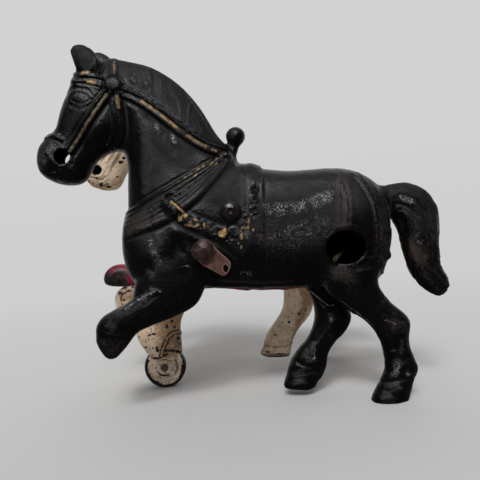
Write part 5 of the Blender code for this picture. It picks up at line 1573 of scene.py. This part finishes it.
# painted darkness in reflections: glossy rays see the floor as dark grey on the camera's side, fading to mostly pale
# behind the team
hush = t.nodes.new("ShaderNodeBsdfDiffuse")
hush.inputs["Color"].default_value = (0.05, 0.05, 0.05, 1)
mix = t.nodes.new("ShaderNodeMixShader")
path = t.nodes.new("ShaderNodeLightPath")
spot = node(t, "ShaderNodeSeparateXYZ", {0: node(t, "ShaderNodeTexCoord").outputs["Object"]}).outputs["Y"]
t.links.new(maths(t, "MULTIPLY", path.outputs["Is Glossy Ray"], step(t, spot, 0.0, 0.14, 0.97, 0.30)), mix.inputs[0])
place = node(t, "ShaderNodeVectorMath", {0: node(t, "ShaderNodeTexCoord").outputs["Object"]}, operation="LENGTH").outputs["Value"]
near_tone = step(t, place, 0.10, 0.60)
t.links.new(mixed(t, near_tone, (0.645, 0.644, 0.643), (0.715, 0.714, 0.713)), b.inputs["Base Color"])
t.links.new(b.outputs[0], mix.inputs[1])
t.links.new(hush.outputs[0], mix.inputs[2])
far = t.nodes.new("ShaderNodeEmission")
far.inputs["Color"].default_value = (1.0, 1.0, 1.0, 1)
far.inputs["Strength"].default_value = 0.622
blend = node(t, "ShaderNodeMixShader", {0: maths(t, "MULTIPLY", path.outputs["Is Camera Ray"], step(t, place, 0.45, 2.2)),
                                        1: mix.outputs[0], 2: far.outputs[0]})
t.links.new(blend.outputs[0], t.nodes["Material Output"].inputs["Surface"])
bm = bmesh.new()
bmesh.ops.create_grid(bm, x_segments=1, y_segments=1, size=30.0)
floor = bm_object("floor", bm)
floor.data.materials.append(m)

world = bpy.data.worlds.new("room")
bpy.context.scene.world = world
world.use_nodes = True
t = world.node_tree
out = t.nodes["World Output"]
room = t.nodes["Background"]
way = node(t, "ShaderNodeSeparateXYZ", {0: node(t, "ShaderNodeTexCoord").outputs["Generated"]})
behind = step(t, way.outputs["Y"], 0.20, 0.92, 0.006, 0.60)
above = step(t, way.outputs["Z"], 0.15, 0.95, 0.0, 0.44)
t.links.new(maths(t, "ADD", behind, above), room.inputs["Strength"])
room.inputs["Color"].default_value = (1.0, 1.0, 1.0, 1)
seen = node(t, "ShaderNodeBackground", {"Color": (1.0, 1.0, 1.0, 1), "Strength": step(t, way.outputs["Z"], 0.0, 0.22, 0.622, 0.646)})
path = t.nodes.new("ShaderNodeLightPath")
mix = node(t, "ShaderNodeMixShader", {0: path.outputs["Is Camera Ray"], 1: room.outputs[0], 2: seen.outputs[0]})
t.links.new(mix.outputs[0], out.inputs["Surface"])


def lamp(kind, name, toward, energy, **props):
    data = bpy.data.lights.new(name, kind)
    data.energy = energy
    for k, v in props.items():
        setattr(data, k, v)
    ob = bpy.data.objects.new(name, data)
    bpy.context.scene.collection.objects.link(ob)
    ob.rotation_euler = Vector(toward).to_track_quat("-Z", "Y").to_euler()
    return ob


lamp("SUN", "key", (0.10, 0.73, -0.68), 1.75, angle=math.radians(28))
lamp("SUN", "glint", (0.12, 0.69, -0.72), 0.42, angle=math.radians(7))

data = bpy.data.cameras.new("view")
data.sensor_width, data.lens, data.clip_start, data.clip_end = 36.0, SHEET / 480 * 36.0, 0.005, 100.0
cam = bpy.data.objects.new("view", data)
bpy.context.scene.collection.objects.link(cam)
c, s = math.cos(ROLL), math.sin(ROLL)
cam.matrix_world = Matrix(((c, s, 0, SHIFT * MM), (0, 0, -1, -EYE * MM), (-s, c, 0, LIFT * MM), (0, 0, 0, 1)))
bpy.context.scene.camera = cam
bpy.context.scene.view_settings.view_transform = "Standard"
